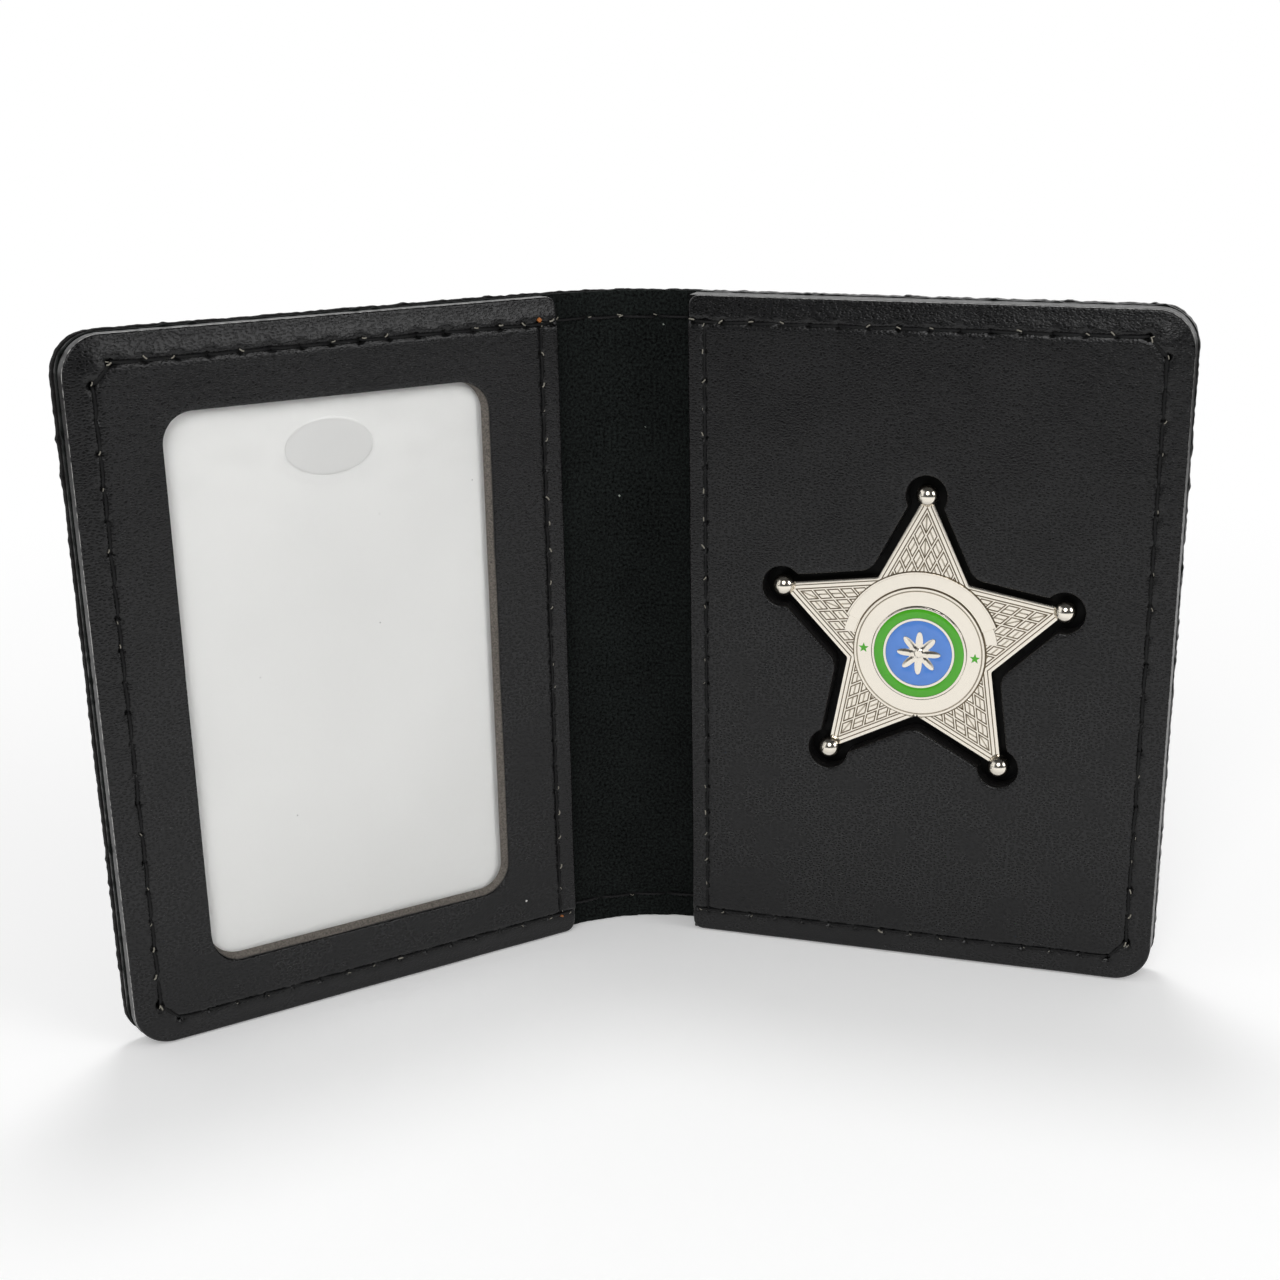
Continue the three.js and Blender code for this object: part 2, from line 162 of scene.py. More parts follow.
class HOLDER_PG_badge(bpy.types.PropertyGroup):
    """Sizes of the star badge and its relief."""

    tilt: bpy.props.FloatProperty(
        name="Tilt", description="How far the badge is turned clockwise", default=math.radians(1.4),
        subtype="ANGLE",
    )
    notch_radius: length("Notch radius", "From the star's centre to a notch", 11.9 * MM)
    tip_radius: length("Tip radius", "From the star's centre to the end of an arm", 22.0 * MM)
    tip_half: length("Tip half width", "Half the width of an arm's end", 0.8 * MM)
    ball_circle: length("Ball circle", "From the star's centre to a ball's", 22.9 * MM)
    ball_radius: length("Ball radius", "Radius of a ball", 1.75 * MM)
    clearance: length("Recess clearance", "From the star to the wall of its recess", 1.4 * MM)
    notch_round: length("Recess notch", "Radius of the recess between two arms", 3.0 * MM)
    rim: length("Rim", "Width of the raised rim of an arm", 0.5 * MM)
    cell: length("Cell", "Width of a cell of the leaf lattice", 1.7 * MM)
    ring_radius: length("Ring radius", "Outer radius of the raised ring", 10.2 * MM)
    ring_drop: length("Ring drop", "How far the ring's centre lies below the star's", 1.7 * MM)
    banner: length("Banner", "Width of the curved banner", 2.5 * MM)
    seal_radius: length("Seal radius", "Radius of the seal", 7.4 * MM)
    petals: bpy.props.IntProperty(name="Petals", description="Petals of the rosette", default=8)


class HOLDER_PG_colours(bpy.types.PropertyGroup):
    """Colours of the finishes."""

    leather: tint("Leather", "Black grained leather", "#19191a")
    edge: tint("Edge", "Inked cut edge", "#1b1a1a")
    raw: tint("Raw edge", "Cut edge that shows its fibres", "#7d766e")
    # The fibres' pale colour is partly a painted highlight, standing in for the glints at the awl holes.
    fibre: tint("Fibre", "Leather fibres torn up at an awl hole", "#8b877c")
    suede: tint("Suede", "Lining", "#121514")
    thread: tint("Thread", "Black waxed thread", "#070708")
    card: tint("Card", "White plastic card", "#dddddb")
    nickel: tint("Nickel", "Polished nickel silver", "#efe8db")
    shade: tint("Patina", "What is left in the grooves of the cast metal", "#8a7d68")
    blue: tint("Blue", "Enamel of the field", "#5c8fe0")
    green: tint("Green", "Enamel of the ring", "#4eb026")
    knot: tint("Knot", "Melted end of the thread", "#a5642f")


def leather_sizes():
    return bpy.context.scene.holder_leather


def badge_sizes():
    return bpy.context.scene.holder_badge


def colours():
    return bpy.context.scene.holder_colours


# Outlines, as loops of (run, up). The outer loop is anticlockwise and holes are clockwise, so that
# the material is always on the left.


def unit(vectors):
    return vectors / np.maximum(np.linalg.norm(vectors, axis=-1, keepdims=True), 1e-12)


def filled(points, spacing):
    """A closed loop through the points, with more points where they lie further apart than spacing."""
    rows = []
    for start, end in zip(points, np.roll(points, -1, axis=0)):
        steps = max(1, math.ceil(np.linalg.norm(end - start) / spacing))
        rows.append(start + (end - start) * np.arange(steps)[:, None] / steps)
    return np.concatenate(rows)


def outline(corners, spacing):
    """A closed loop through the corners (x, y, radius), each rounded by an arc."""
    points = []
    for k, (x, y, radius) in enumerate(corners):
        corner = np.array((x, y), float)
        if not radius:
            points.append(corner)
            continue
        last = unit(np.array(corners[k - 1][:2]) - corner)
        following = unit(np.array(corners[(k + 1) % len(corners)][:2]) - corner)
        half = math.acos(np.clip(last @ following, -1, 1)) / 2
        centre = corner + unit(last + following) * radius / math.sin(half)
        first = corner + last * radius / math.tan(half) - centre
        final = corner + following * radius / math.tan(half) - centre
        start = math.atan2(first[1], first[0])
        turn = (math.atan2(final[1], final[0]) - start + math.pi) % (2 * math.pi) - math.pi
        steps = max(3, math.ceil(abs(turn) * radius / spacing))
        for angle in start + turn * np.arange(steps + 1) / steps:
            points.append(centre + radius * np.array((math.cos(angle), math.sin(angle))))
    return filled(np.array(points), spacing)


def inset(loop, distance):
    """The loop moved into the material by a distance, or out of it where that is negative."""
    ahead = unit(np.roll(loop, -1, axis=0) - loop)
    normals = np.column_stack((-ahead[:, 1], ahead[:, 0]))
    both = normals + np.roll(normals, 1, axis=0)
    return loop + both * distance * 2 / np.maximum((both ** 2).sum(1), 1.0)[:, None]


def within(points, loops):
    """True for each point inside the first loop and outside the others."""
    found = np.zeros(len(points), bool)
    x, y = points.T
    for loop in loops:
        for (x1, y1), (x2, y2) in zip(loop, np.roll(loop, -1, axis=0)):
            if y1 != y2:
                crosses = (y1 > y) != (y2 > y)
                found ^= crosses & (x < (x2 - x1) * (y - y1) / (y2 - y1) + x1)
    return found


# The height of a triangle with sides of 1
ROW_STEP = 0.866


def grid(low, high, spacing):
    """Points of a triangular grid over a box."""
    across = np.arange(low[0], high[0], spacing)
    along = np.arange(low[1], high[1], spacing * ROW_STEP)
    x, y = np.meshgrid(across, along)
    x[1::2] += spacing / 2
    return np.column_stack((x.ravel(), y.ravel()))


def leaf_corners(side, gap=0.0, inner=0.0):
    """Corners of a leaf: side is -1 for the window leaf and 1 for the badge leaf."""
    near = SPINE if side > 0 else 0.0
    far = near + side * (LEAF_WIDTH - gap)
    radius = LEAF_RADIUS - gap
    corners = [
        (near, gap, inner), (far, gap, radius),
        (far, LEAF_HEIGHT - gap, radius), (near, LEAF_HEIGHT - gap, inner),
    ]
    return corners if side > 0 else corners[::-1]


def half_corners(side):
    """Corners of the cover or the lining on one side, as far as the middle of the spine."""
    return [(x if radius else MID_SPINE, y, radius) for x, y, radius in leaf_corners(side)]


def depth_in(flat):
    """How far each flat place lies inside the three outer edges of the case."""
    run, up = flat[:, 0], flat[:, 1]
    a = np.where(run < MID_SPINE, LEAF_WIDTH + run, SPINE + LEAF_WIDTH - run)
    b = np.minimum(up, LEAF_HEIGHT - up)
    round_corner = LEAF_RADIUS - np.hypot(LEAF_RADIUS - a, LEAF_RADIUS - b)
    return np.where((a < LEAF_RADIUS) & (b < LEAF_RADIUS), round_corner, np.minimum(a, b))


def ramp(low, high, value):
    return np.clip((value - low) / (high - low), 0, 1)


def smooth(low, high, value):
    share = ramp(low, high, value)
    return share * share * (3 - 2 * share)


def waves(flat, size, seed, count=9):
    """A gentle unevenness between about -1 and 1, whose swells are about size wide."""
    random = np.random.default_rng(seed)
    angles = random.uniform(0, 2 * math.pi, count)
    widths = size * random.uniform(0.7, 1.6, count)
    starts = random.uniform(0, 2 * math.pi, count)
    along = flat[:, :1] * np.cos(angles) + flat[:, 1:2] * np.sin(angles)
    return np.sin(2 * math.pi * along / widths + starts).sum(1) / math.sqrt(count)


# Seams

GROOVE_WIDTH = 0.42 * MM
# A stitch's pull at its hole: the share of the dent and the width of its wide and its narrow part
WIDE_PULL = (0.75, 1.0 * MM)
NARROW_PULL = (1.1, 0.32 * MM)
PULL_REACH = 3 * MM
# The wide part lies towards the leaf's edge: by how much, and how far it spreads that way
PULL_OUTWARDS = 0.5 * MM
PULL_SPREAD = 0.75 * MM
# Where the panel's edge lies between two holes, each is so far from it
EDGE_TO_HOLE = 0.8 * MM


def seam_runs(side):
    """The straight runs of one leaf's outer seam, from mid-spine at the top, round, and back to it.
    It starts on the lining and goes on over the panel, whose edge lies between two holes."""
    sizes = leather_sizes()
    gap, cut = sizes.seam_inset, sizes.corner_cut
    edge, far = (SPINE, SPINE + LEAF_WIDTH - gap) if side > 0 else (0.0, gap - LEAF_WIDTH)
    beside = side * EDGE_TO_HOLE
    high, low = LEAF_HEIGHT - gap, gap
    return [np.array(pair) for pair in (
        ((MID_SPINE, high), (edge - beside, high)),
        ((edge + beside, high), (far - side * cut, high)),
        ((far - side * cut, high), (far, high - cut)),
        ((far, high - cut), (far, low + cut)),
        ((far, low + cut), (far - side * cut, low)),
        ((far - side * cut, low), (edge + beside, low)),
        ((edge - beside, low), (MID_SPINE, low)),
    )]


def row_run(side):
    """The short seam beside a panel's spine edge, from the top seam to the bottom one."""
    sizes = leather_sizes()
    run = SPINE + sizes.badge_row if side > 0 else -sizes.window_row
    return np.array(((run, LEAF_HEIGHT - sizes.seam_inset), (run, sizes.seam_inset)))


def all_runs(side, with_row):
    return seam_runs(side) + ([row_run(side)] if with_row else [])


def spread(run, count):
    """Points that divide a straight run into that many equal lengths."""
    return run[0] + (run[1] - run[0]) * np.linspace(0, 1, count + 1)[:, None]


def stitches_in(run):
    return max(1, round(np.linalg.norm(run[1] - run[0]) / leather_sizes().pitch))


def seam_distance(flat, side, with_row):
    """How far each flat place lies from the nearest seam."""
    found = []
    for start, end in all_runs(side, with_row):
        along = end - start
        share = np.clip(((flat[:, :2] - start) @ along) / (along @ along), 0, 1)
        found.append(np.linalg.norm(flat[:, :2] - start - share[:, None] * along, axis=1))
    return np.min(found, axis=0)


def sewn(flat, side, with_row=True):
    """How far the seams pull a face in at each flat place: a groove, with a dent at each awl hole.
    Beside an outer seam the dents lie towards the leaf's edge."""
    sizes = leather_sizes()
    inside = depth_in(flat)
    pull = sizes.groove * np.exp(-(seam_distance(flat, side, with_row) / GROOVE_WIDTH) ** 2)
    holes = [hole for run in all_runs(side, with_row) for hole in spread(run, stitches_in(run))]
    for number, hole in enumerate(holes, 1):
        near = np.flatnonzero(np.abs(flat[:, :2] - hole).max(1) < PULL_REACH)
        apart = np.linalg.norm(flat[near, :2] - hole, axis=1)
        beyond = inside[near] - sizes.seam_inset + PULL_OUTWARDS
        strength = sizes.dent * (0.8 + 0.2 * math.sin(2.4 * number))
        wide = WIDE_PULL[0] * np.exp(-(apart / WIDE_PULL[1]) ** 2 - (beyond / PULL_SPREAD) ** 2)
        narrow = NARROW_PULL[0] * np.exp(-(apart / NARROW_PULL[1]) ** 2)
        pull[near] += strength * (wide + narrow)
    return pull


# Meshes


def linked(name, data):
    """A new object in the scene."""
    made = bpy.data.objects.new(name, data)
    bpy.context.scene.collection.objects.link(made)
    return made


# Thinner slivers than this, as twice their area in square metres, aren't made
LEAST_AREA = 1e-14


def triangulate(loops, extra, lines=()):
    """Triangles over the area in the loops, through extra points and along lines of points."""
    parts = list(loops) + list(lines) + [extra]
    points = np.concatenate(parts)
    edges = []
    start = 0
    for k, part in enumerate(parts[:-1]):
        ids = list(range(start, start + len(part)))
        edges += list(zip(ids, ids[1:] + (ids[:1] if k < len(loops) else [])))[:len(ids)]
        start += len(part)
    edges = [edge for edge in edges if edge[0] != edge[1]]
    coarse = [Vector(point) for point in points / MM]
    made, _, faces, origin, _, _ = delaunay_2d_cdt(coarse, edges, [], 0, 1e-5)
    flat = np.array([tuple(point) for point in made], float) * MM
    faces = np.array([face for face in faces if len(face) == 3])
    faces = faces[within(flat[faces].mean(1), loops)]
    a, b, c = (flat[faces[:, k]] for k in range(3))
    area = np.cross(b - a, c - a)
    sound = np.abs(area) > LEAST_AREA
    faces, area = faces[sound], area[sound]
    faces[area < 0] = faces[area < 0][:, ::-1]
    index = {source: k for k, sources in enumerate(origin) for source in sources}
    for source, point in enumerate(np.concatenate(loops)):
        if source in index:
            flat[index[source]] = point
    return flat, faces, index


def make_mesh(name, flat, faces, parts, looks, sunk=None, sharp=40):
    """A piece from flat places: parts holds each face's slot in looks, its finishes."""
    mesh = bpy.data.meshes.new(name)
    mesh.from_pydata(place(flat).tolist(), [], [list(map(int, face)) for face in faces])
    mesh.attributes.new("flat", "FLOAT_VECTOR", "POINT")
    mesh.attributes["flat"].data.foreach_set("vector", np.asarray(flat, np.float32).ravel())
    # sunk is what a finish darkens: painted shade on the leather, patina on the metal.
    mesh.attributes.new("sunk", "FLOAT", "POINT")
    marked = np.zeros(len(flat)) if sunk is None else sunk
    mesh.attributes["sunk"].data.foreach_set("value", marked.astype(np.float32))
    for look in looks:
        mesh.materials.append(look)
    mesh.polygons.foreach_set("material_index", np.asarray(parts, np.int32))
    mesh.polygons.foreach_set("use_smooth", np.ones(len(faces), bool))
    mesh.set_sharp_from_angle(angle=math.radians(sharp))
    mesh.validate()
    return linked(name, mesh)


# Grid points keep this far from a face's rim, and a wall's rounding takes up at most this share of it
CORE_MARGIN = 0.12 * MM
ROUNDING_LIMIT = 0.45


def slab(name, loops, front, back, looks, rounding, extra=None, lines=(), steps=3, sharp=40,
         sunk=None, joint=False, inked=None, lean=None):
    """A closed piece cut from a sheet. front and back give the rise of its faces at flat places, and
    looks are the finishes of its front, its cut edge, its back and the walls of its holes. With joint,
    its end in the middle of the spine is cut square, so that the other half goes on from it. inked
    says where the outer wall has the last finish, and lean how far each point of a hole's wall
    reaches into the hole at its back."""
    rims = [inset(loop, rounding) for loop in loops]
    if joint:
        for loop, rim in zip(loops, rims):
            rim[np.abs(loop[:, 0] - MID_SPINE) < 1e-7, 0] = MID_SPINE
    core = [inset(loop, rounding + CORE_MARGIN) for loop in loops]
    kept = np.zeros((0, 2)) if extra is None else extra[within(extra, core)]
    flat, triangles, index = triangulate(rims, kept, lines)
    count = len(flat)
    places = [np.column_stack((flat, front(flat))), np.column_stack((flat, back(flat)))]
    faces = [tuple(face) for face in triangles] + [tuple(face[::-1] + count) for face in triangles]
    parts = [0] * len(triangles) + [2] * len(triangles)
    total = 2 * count
    first = 0
    for number, (loop, rim) in enumerate(zip(loops, rims)):
        wall = np.full(len(rim), 3 if number and len(looks) > 3 else 1)
        if inked is not None:
            wall[inked(rim)] = 3
        shift = lean if number and lean is not None else np.zeros((len(rim), 2))
        ids = np.array([index[first + k] for k in range(len(rim))])
        first += len(rim)
        places[1][ids, :2] += shift
        out = loop - rim
        square = np.linalg.norm(out, axis=1) < 1e-9
        high, low = front(rim), back(rim)
        drop = np.minimum(rounding, (high - low) * ROUNDING_LIMIT)
        rings = [ids]
        for k in range(1, steps + 3):
            angle = math.pi / 2 * min(k / steps, 1)
            rise = high - drop * (1 - math.cos(angle))
            if k > steps:
                rise = low + drop * 0.3 * (steps + 3 - k)
            rise = np.where(square, high + (low - high) * k / (steps + 3), rise)
            share = math.sin(angle) if k < steps + 2 else 0.7
            places.append(np.column_stack((rim + out * share + shift * (k > steps), rise)))
            rings.append(total + np.arange(len(rim)))
            total += len(rim)
        rings.append(ids + count)
        for k, (upper, lower) in enumerate(zip(rings, rings[1:])):
            faces += list(zip(upper, lower, np.roll(lower, -1), np.roll(upper, -1)))
            parts += [0] * len(upper) if k < steps - 1 else wall.tolist()
    flat_places = np.concatenate(places)
    marked = None
    if sunk is not None:
        marked = np.zeros(len(flat_places))
        marked[:count] = sunk(flat)
    return make_mesh(name, flat_places, faces, parts, looks, marked, sharp)


# How far from a seam the finest points end, and where those outside and inside it begin
SEAM_BANDS = (1.5 * MM, 1.6 * MM, 1.8 * MM)
SPINE_BAND = 1.2 * MM


def seam_points(side, loops, fine, coarse, with_row=True):
    """Points for a sewn sheet: close together along its seams, and at mid-spine, where halves meet."""
    low, high = loops[0].min(0), loops[0].max(0)
    near = grid(low, high, fine)
    keep = seam_distance(near, side, with_row) < SEAM_BANDS[0]
    keep |= np.abs(near[:, 0] - MID_SPINE) < SPINE_BAND
    middling = grid(low, high, fine * 2)
    apart = seam_distance(middling, side, with_row)
    middling = middling[(apart > SEAM_BANDS[1]) & (depth_in(middling) < leather_sizes().seam_inset)]
    far = grid(low, high, coarse)
    apart = seam_distance(far, side, with_row)
    far = far[(apart > SEAM_BANDS[2]) & (depth_in(far) > leather_sizes().seam_inset)]
    return np.concatenate((near[keep], middling, far))


def ragged(loop, amount, seed):
    """A loop whose cut wanders a little, as where a knife went through fibres, with a few tufts."""
    along = np.cumsum(np.linalg.norm(loop - np.roll(loop, 1, axis=0), axis=1))
    flat = np.column_stack((along, np.zeros(len(loop))))
    wander = 1.0 + 0.6 * waves(flat, 3.0 * MM, seed) + 0.5 * waves(flat, 1.3 * MM, seed + 1)
    random = np.random.default_rng(seed)
    for at in random.uniform(0, along[-1], 18):
        wander -= random.uniform(1.0, 4.0) * np.exp(-((along - at) / (0.5 * MM)) ** 2)
    free = np.abs(loop[:, 0] - MID_SPINE) > 0.6 * MM
    cut = loop + (inset(loop, 1.0) - loop) * (amount * wander * free)[:, None]
    cut[:, 1] = np.clip(cut[:, 1], 0.03 * MM, LEAF_HEIGHT)
    return cut


# Materials


def node(tree, kind, inputs=(), **settings):
    """Adds a node with its settings. An input is a value, a socket or a node, for its first live output."""
    made = tree.nodes.new(kind)
    for name, value in settings.items():
        setattr(made, name, value)
    for key, value in dict(inputs).items():
        if isinstance(value, bpy.types.Node):
            value = next(socket for socket in value.outputs if socket.enabled)
        if isinstance(value, bpy.types.NodeSocket):
            tree.links.new(value, made.inputs[key])
        else:
            made.inputs[key].default_value = value
    return made


def material(name, add_shader):
    """A material whose surface is the shader that add_shader puts in its empty tree."""
    made = bpy.data.materials.new(name)
    made.use_nodes = True
    made.node_tree.nodes.clear()
    node(made.node_tree, "ShaderNodeOutputMaterial", {"Surface": add_shader(made.node_tree)})
    return made


def rgba(colour):
    """A shader's colour value, from a hex value or from linear red, green and blue."""
    return (*(linear(colour) if isinstance(colour, str) else colour), 1.0)


# The range that nearly all values of a noise texture lie in
NOISE_SPAN = {"From Min": 0.3, "From Max": 0.7}


def grained_leather(tree):
    """Black cowhide with a printed grain, finished satin: a soft sheen that small pits break up. Painted
    shade darkens the pits and the dents at the seams.
    """
    sizes, dye = leather_sizes(), colours().leather
    flat = node(tree, "ShaderNodeAttribute", attribute_name="flat").outputs["Vector"]
    sunk = node(tree, "ShaderNodeAttribute", attribute_name="sunk").outputs["Fac"]
    wander = node(tree, "ShaderNodeTexNoise", {"Vector": flat, "Scale": 0.6 / sizes.grain, "Detail": 2})
    shift = node(tree, "ShaderNodeVectorMath", {0: wander.outputs["Color"], "Scale": 0.9 * sizes.grain},
                 operation="SCALE")
    bent = node(tree, "ShaderNodeVectorMath", {0: flat, 1: shift}, operation="ADD")
    cells = node(tree, "ShaderNodeMapping",
                 {"Vector": bent, "Scale": (1 / sizes.grain, 1 / sizes.grain_height, 0)})
    pebble = node(tree, "ShaderNodeTexVoronoi", {"Vector": cells, "Scale": 1.0, "Randomness": 0.85},
                  voronoi_dimensions="2D")
    crown = node(tree, "ShaderNodeMapRange", {"Value": pebble, "From Min": 0.2, "From Max": 0.46},
                 interpolation_type="SMOOTHSTEP")
    fine = node(tree, "ShaderNodeTexNoise", {"Vector": cells, "Scale": 1.25, "Detail": 3, "Roughness": 0.6})
    broad = node(tree, "ShaderNodeTexNoise", {"Vector": flat, "Scale": 1 / (7 * MM), "Detail": 3})
    relief = node(tree, "ShaderNodeMath", {0: fine, 1: 3.0, 2: crown}, operation="MULTIPLY_ADD")
    # Painted shade: in the grain's pits the colour drops to a tenth.
    pit_shaded_dye = node(tree, "ShaderNodeMix", {"Factor": crown, "A": rgba([c * 0.1 for c in dye]), "B": rgba(dye)},
               data_type="RGBA")
    patch = node(tree, "ShaderNodeMapRange", {**NOISE_SPAN, "Value": broad, "To Min": 0.85, "To Max": 1.2})
    # Painted shade: the colour darkens where the seams pull the face in, in their grooves and in the dents
    # at the awl holes.
    shaded = node(tree, "ShaderNodeMath", {0: sunk, 1: -0.85, 2: patch}, operation="MULTIPLY_ADD")
    toned = node(tree, "ShaderNodeVectorMath", {0: pit_shaded_dye, "Scale": shaded}, operation="SCALE")
    dust = node(tree, "ShaderNodeTexVoronoi", {"Vector": flat, "Scale": 1 / (13 * MM)})
    speck = node(tree, "ShaderNodeMath", {0: dust, 1: 0.014}, operation="LESS_THAN")
    dusty = node(tree, "ShaderNodeMix", {"Factor": speck, "A": toned, "B": rgba("#c9c8c4")},
                 data_type="RGBA")
    return node(tree, "ShaderNodeBsdfPrincipled", {
        "Base Color": dusty, "Specular IOR Level": 0.34,
        "Roughness": node(tree, "ShaderNodeMapRange",
                          {**NOISE_SPAN, "Value": broad, "To Min": 0.18, "To Max": 0.24}),
        "Normal": node(tree, "ShaderNodeBump", {"Height": relief, "Distance": 0.016 * MM}),
    })


# How far a sewn panel's face slopes back to its outer edge
WINDOW_DROP = 0.8 * MM
BADGE_DROP = 0.6 * MM


def arris_painted_highlight(tree):
    """Painted highlight: patches of light grey along the front arris of the two panels' outer edges, where a
    lamp's bright line would lie.
    """
    flat = node(tree, "ShaderNodeAttribute", attribute_name="flat").outputs["Vector"]
    parted = node(tree, "ShaderNodeSeparateXYZ", {"Vector": flat})
    below = 0.42 * MM
    arris = node(tree, "ShaderNodeMapRange", {
        "Value": parted.outputs["X"], "From Min": 0.0, "From Max": SPINE,
        "To Min": flat_box("window_panel")[1][2] - WINDOW_DROP - below,
        "To Max": flat_box("badge_panel")[1][2] - BADGE_DROP - below,
    })
    over = node(tree, "ShaderNodeMath", {0: parted.outputs["Z"], 1: arris}, operation="SUBTRACT")
    painted_arris_highlight = node(tree, "ShaderNodeMapRange", {"Value": over, "From Min": 0.0, "From Max": 0.08 * MM})
    place_on = node(tree, "ShaderNodeTexCoord").outputs["Object"]
    patchy = node(tree, "ShaderNodeTexNoise", {"Vector": place_on, "Scale": 1 / (0.9 * MM), "Detail": 5})
    part = node(tree, "ShaderNodeMapRange", {"Value": patchy, "From Min": 0.4, "From Max": 0.58})
    share = node(tree, "ShaderNodeMath", {0: painted_arris_highlight, 1: part}, operation="MULTIPLY")
    # The light grey is a painted highlight, not a colour of the ink.
    return node(tree, "ShaderNodeMix", {"Factor": share, "A": rgba(colours().edge), "B": rgba("#b4b3b0")},
                data_type="RGBA")


def inked_edge(tree, painted_arris_highlight=False):
    """Cut leather edge, inked black and rubbed: smooth enough to catch a light at a low angle. With the flag
    set, its colour carries a painted highlight along the front arris.
    """
    place_on = node(tree, "ShaderNodeTexCoord").outputs["Object"]
    layers = node(tree, "ShaderNodeTexNoise", {"Vector": place_on, "Scale": 1 / (0.5 * MM), "Detail": 4})
    return node(tree, "ShaderNodeBsdfPrincipled", {
        "Base Color": arris_painted_highlight(tree) if painted_arris_highlight else rgba(colours().edge), "Specular IOR Level": 0.4,
        "Roughness": node(tree, "ShaderNodeMapRange",
                          {**NOISE_SPAN, "Value": layers, "To Min": 0.26, "To Max": 0.4}),
        "Normal": node(tree, "ShaderNodeBump", {"Height": layers, "Distance": 0.02 * MM}),
    })


def raw_edge(tree):
    """Cut edge of chrome-tanned leather: grey-brown fibres, dyed black close to the grain side."""
    flat = node(tree, "ShaderNodeAttribute", attribute_name="flat").outputs["Vector"]
    parted = node(tree, "ShaderNodeSeparateXYZ", {"Vector": flat})
    face = flat_box("window_panel")[1][2]
    dyed = node(tree, "ShaderNodeMapRange",
                {"Value": parted.outputs["Z"], "From Min": face - 0.42 * MM, "From Max": face - 0.28 * MM})
    fibre = node(tree, "ShaderNodeTexNoise",
                 {"Vector": flat, "Scale": 1 / (0.3 * MM), "Detail": 6, "Roughness": 0.75})
    streak = node(tree, "ShaderNodeMapRange", {"Value": fibre, "From Min": 0.35, "From Max": 0.65})
    tone = node(tree, "ShaderNodeMix", {"Factor": streak, "A": rgba("#3b3733"), "B": rgba(colours().raw)},
                data_type="RGBA")
    colour = node(tree, "ShaderNodeMix", {"Factor": dyed, "A": tone, "B": rgba(colours().edge)},
                  data_type="RGBA")
    return node(tree, "ShaderNodeBsdfPrincipled", {
        "Base Color": colour, "Roughness": 0.8,
        "Normal": node(tree, "ShaderNodeBump", {"Height": fibre, "Distance": 0.12 * MM}),
    })


def suede(tree):
    """Split-leather suede: a fine nap that takes the light and holds a few specks of lint."""
    flat = node(tree, "ShaderNodeAttribute", attribute_name="flat").outputs["Vector"]
    nap = node(tree, "ShaderNodeTexNoise",
               {"Vector": flat, "Scale": 1 / (0.42 * MM), "Detail": 6, "Roughness": 0.75})
    brushed = node(tree, "ShaderNodeTexNoise", {"Vector": flat, "Scale": 1 / (9 * MM), "Detail": 2})
    both = node(tree, "ShaderNodeMath", {0: brushed, 1: 0.1, 2: nap}, operation="MULTIPLY_ADD")
    shade = node(tree, "ShaderNodeMapRange",
                 {"Value": both, "From Min": 0.44, "From Max": 0.68, "To Min": 0.0, "To Max": 2.5})
    tone = node(tree, "ShaderNodeVectorMath", {0: tuple(colours().suede), "Scale": shade}, operation="SCALE")
    frayed = node(tree, "ShaderNodeVectorMath", {0: nap.outputs["Color"], "Scale": 0.5 * MM},
                  operation="SCALE")
    spread_out = node(tree, "ShaderNodeVectorMath", {0: flat, 1: frayed}, operation="ADD")
    specks = node(tree, "ShaderNodeTexVoronoi", {"Vector": spread_out, "Scale": 1 / (3.6 * MM)})
    small = node(tree, "ShaderNodeMath", {0: specks, 1: 0.04}, operation="LESS_THAN")
    chance = node(tree, "ShaderNodeSeparateColor", {"Color": specks.outputs["Color"]})
    few = node(tree, "ShaderNodeMath", {0: chance, 1: 0.3}, operation="LESS_THAN")
    lint = node(tree, "ShaderNodeMath", {0: small, 1: few}, operation="MULTIPLY")
    return node(tree, "ShaderNodeBsdfPrincipled", {
        "Base Color": node(tree, "ShaderNodeMix", {"Factor": lint, "A": tone, "B": rgba("#8f968f")},
                           data_type="RGBA"),
        "Roughness": 0.95, "Specular IOR Level": 0.08, "Sheen Weight": 0.04, "Sheen Roughness": 0.5,
        "Normal": node(tree, "ShaderNodeBump", {"Height": nap, "Distance": 0.1 * MM}),
    })


def polished_nickel(tree):
    """Die-struck, nickel-plated and polished: mirror-like on top, dull and brownish in the grooves."""
    sunk = node(tree, "ShaderNodeAttribute", attribute_name="sunk").outputs["Fac"]
    place_on = node(tree, "ShaderNodeTexCoord").outputs["Object"]
    cloud = node(tree, "ShaderNodeTexNoise", {"Vector": place_on, "Scale": 1 / (1.4 * MM), "Detail": 4})
    shade = node(tree, "ShaderNodeMath", {0: sunk, 1: 0.3, 2: 0.12}, operation="MULTIPLY_ADD")
    return node(tree, "ShaderNodeBsdfPrincipled", {
        "Base Color": node(tree, "ShaderNodeMix", {
            "Factor": sunk, "A": rgba(colours().nickel), "B": rgba(colours().shade)}, data_type="RGBA"),
        "Metallic": 1.0,
        "Roughness": node(tree, "ShaderNodeMath", {0: cloud, 1: 0.08, 2: shade}, operation="MULTIPLY_ADD"),
        "Normal": node(tree, "ShaderNodeBump", {"Height": cloud, "Distance": 0.006 * MM}),
    })


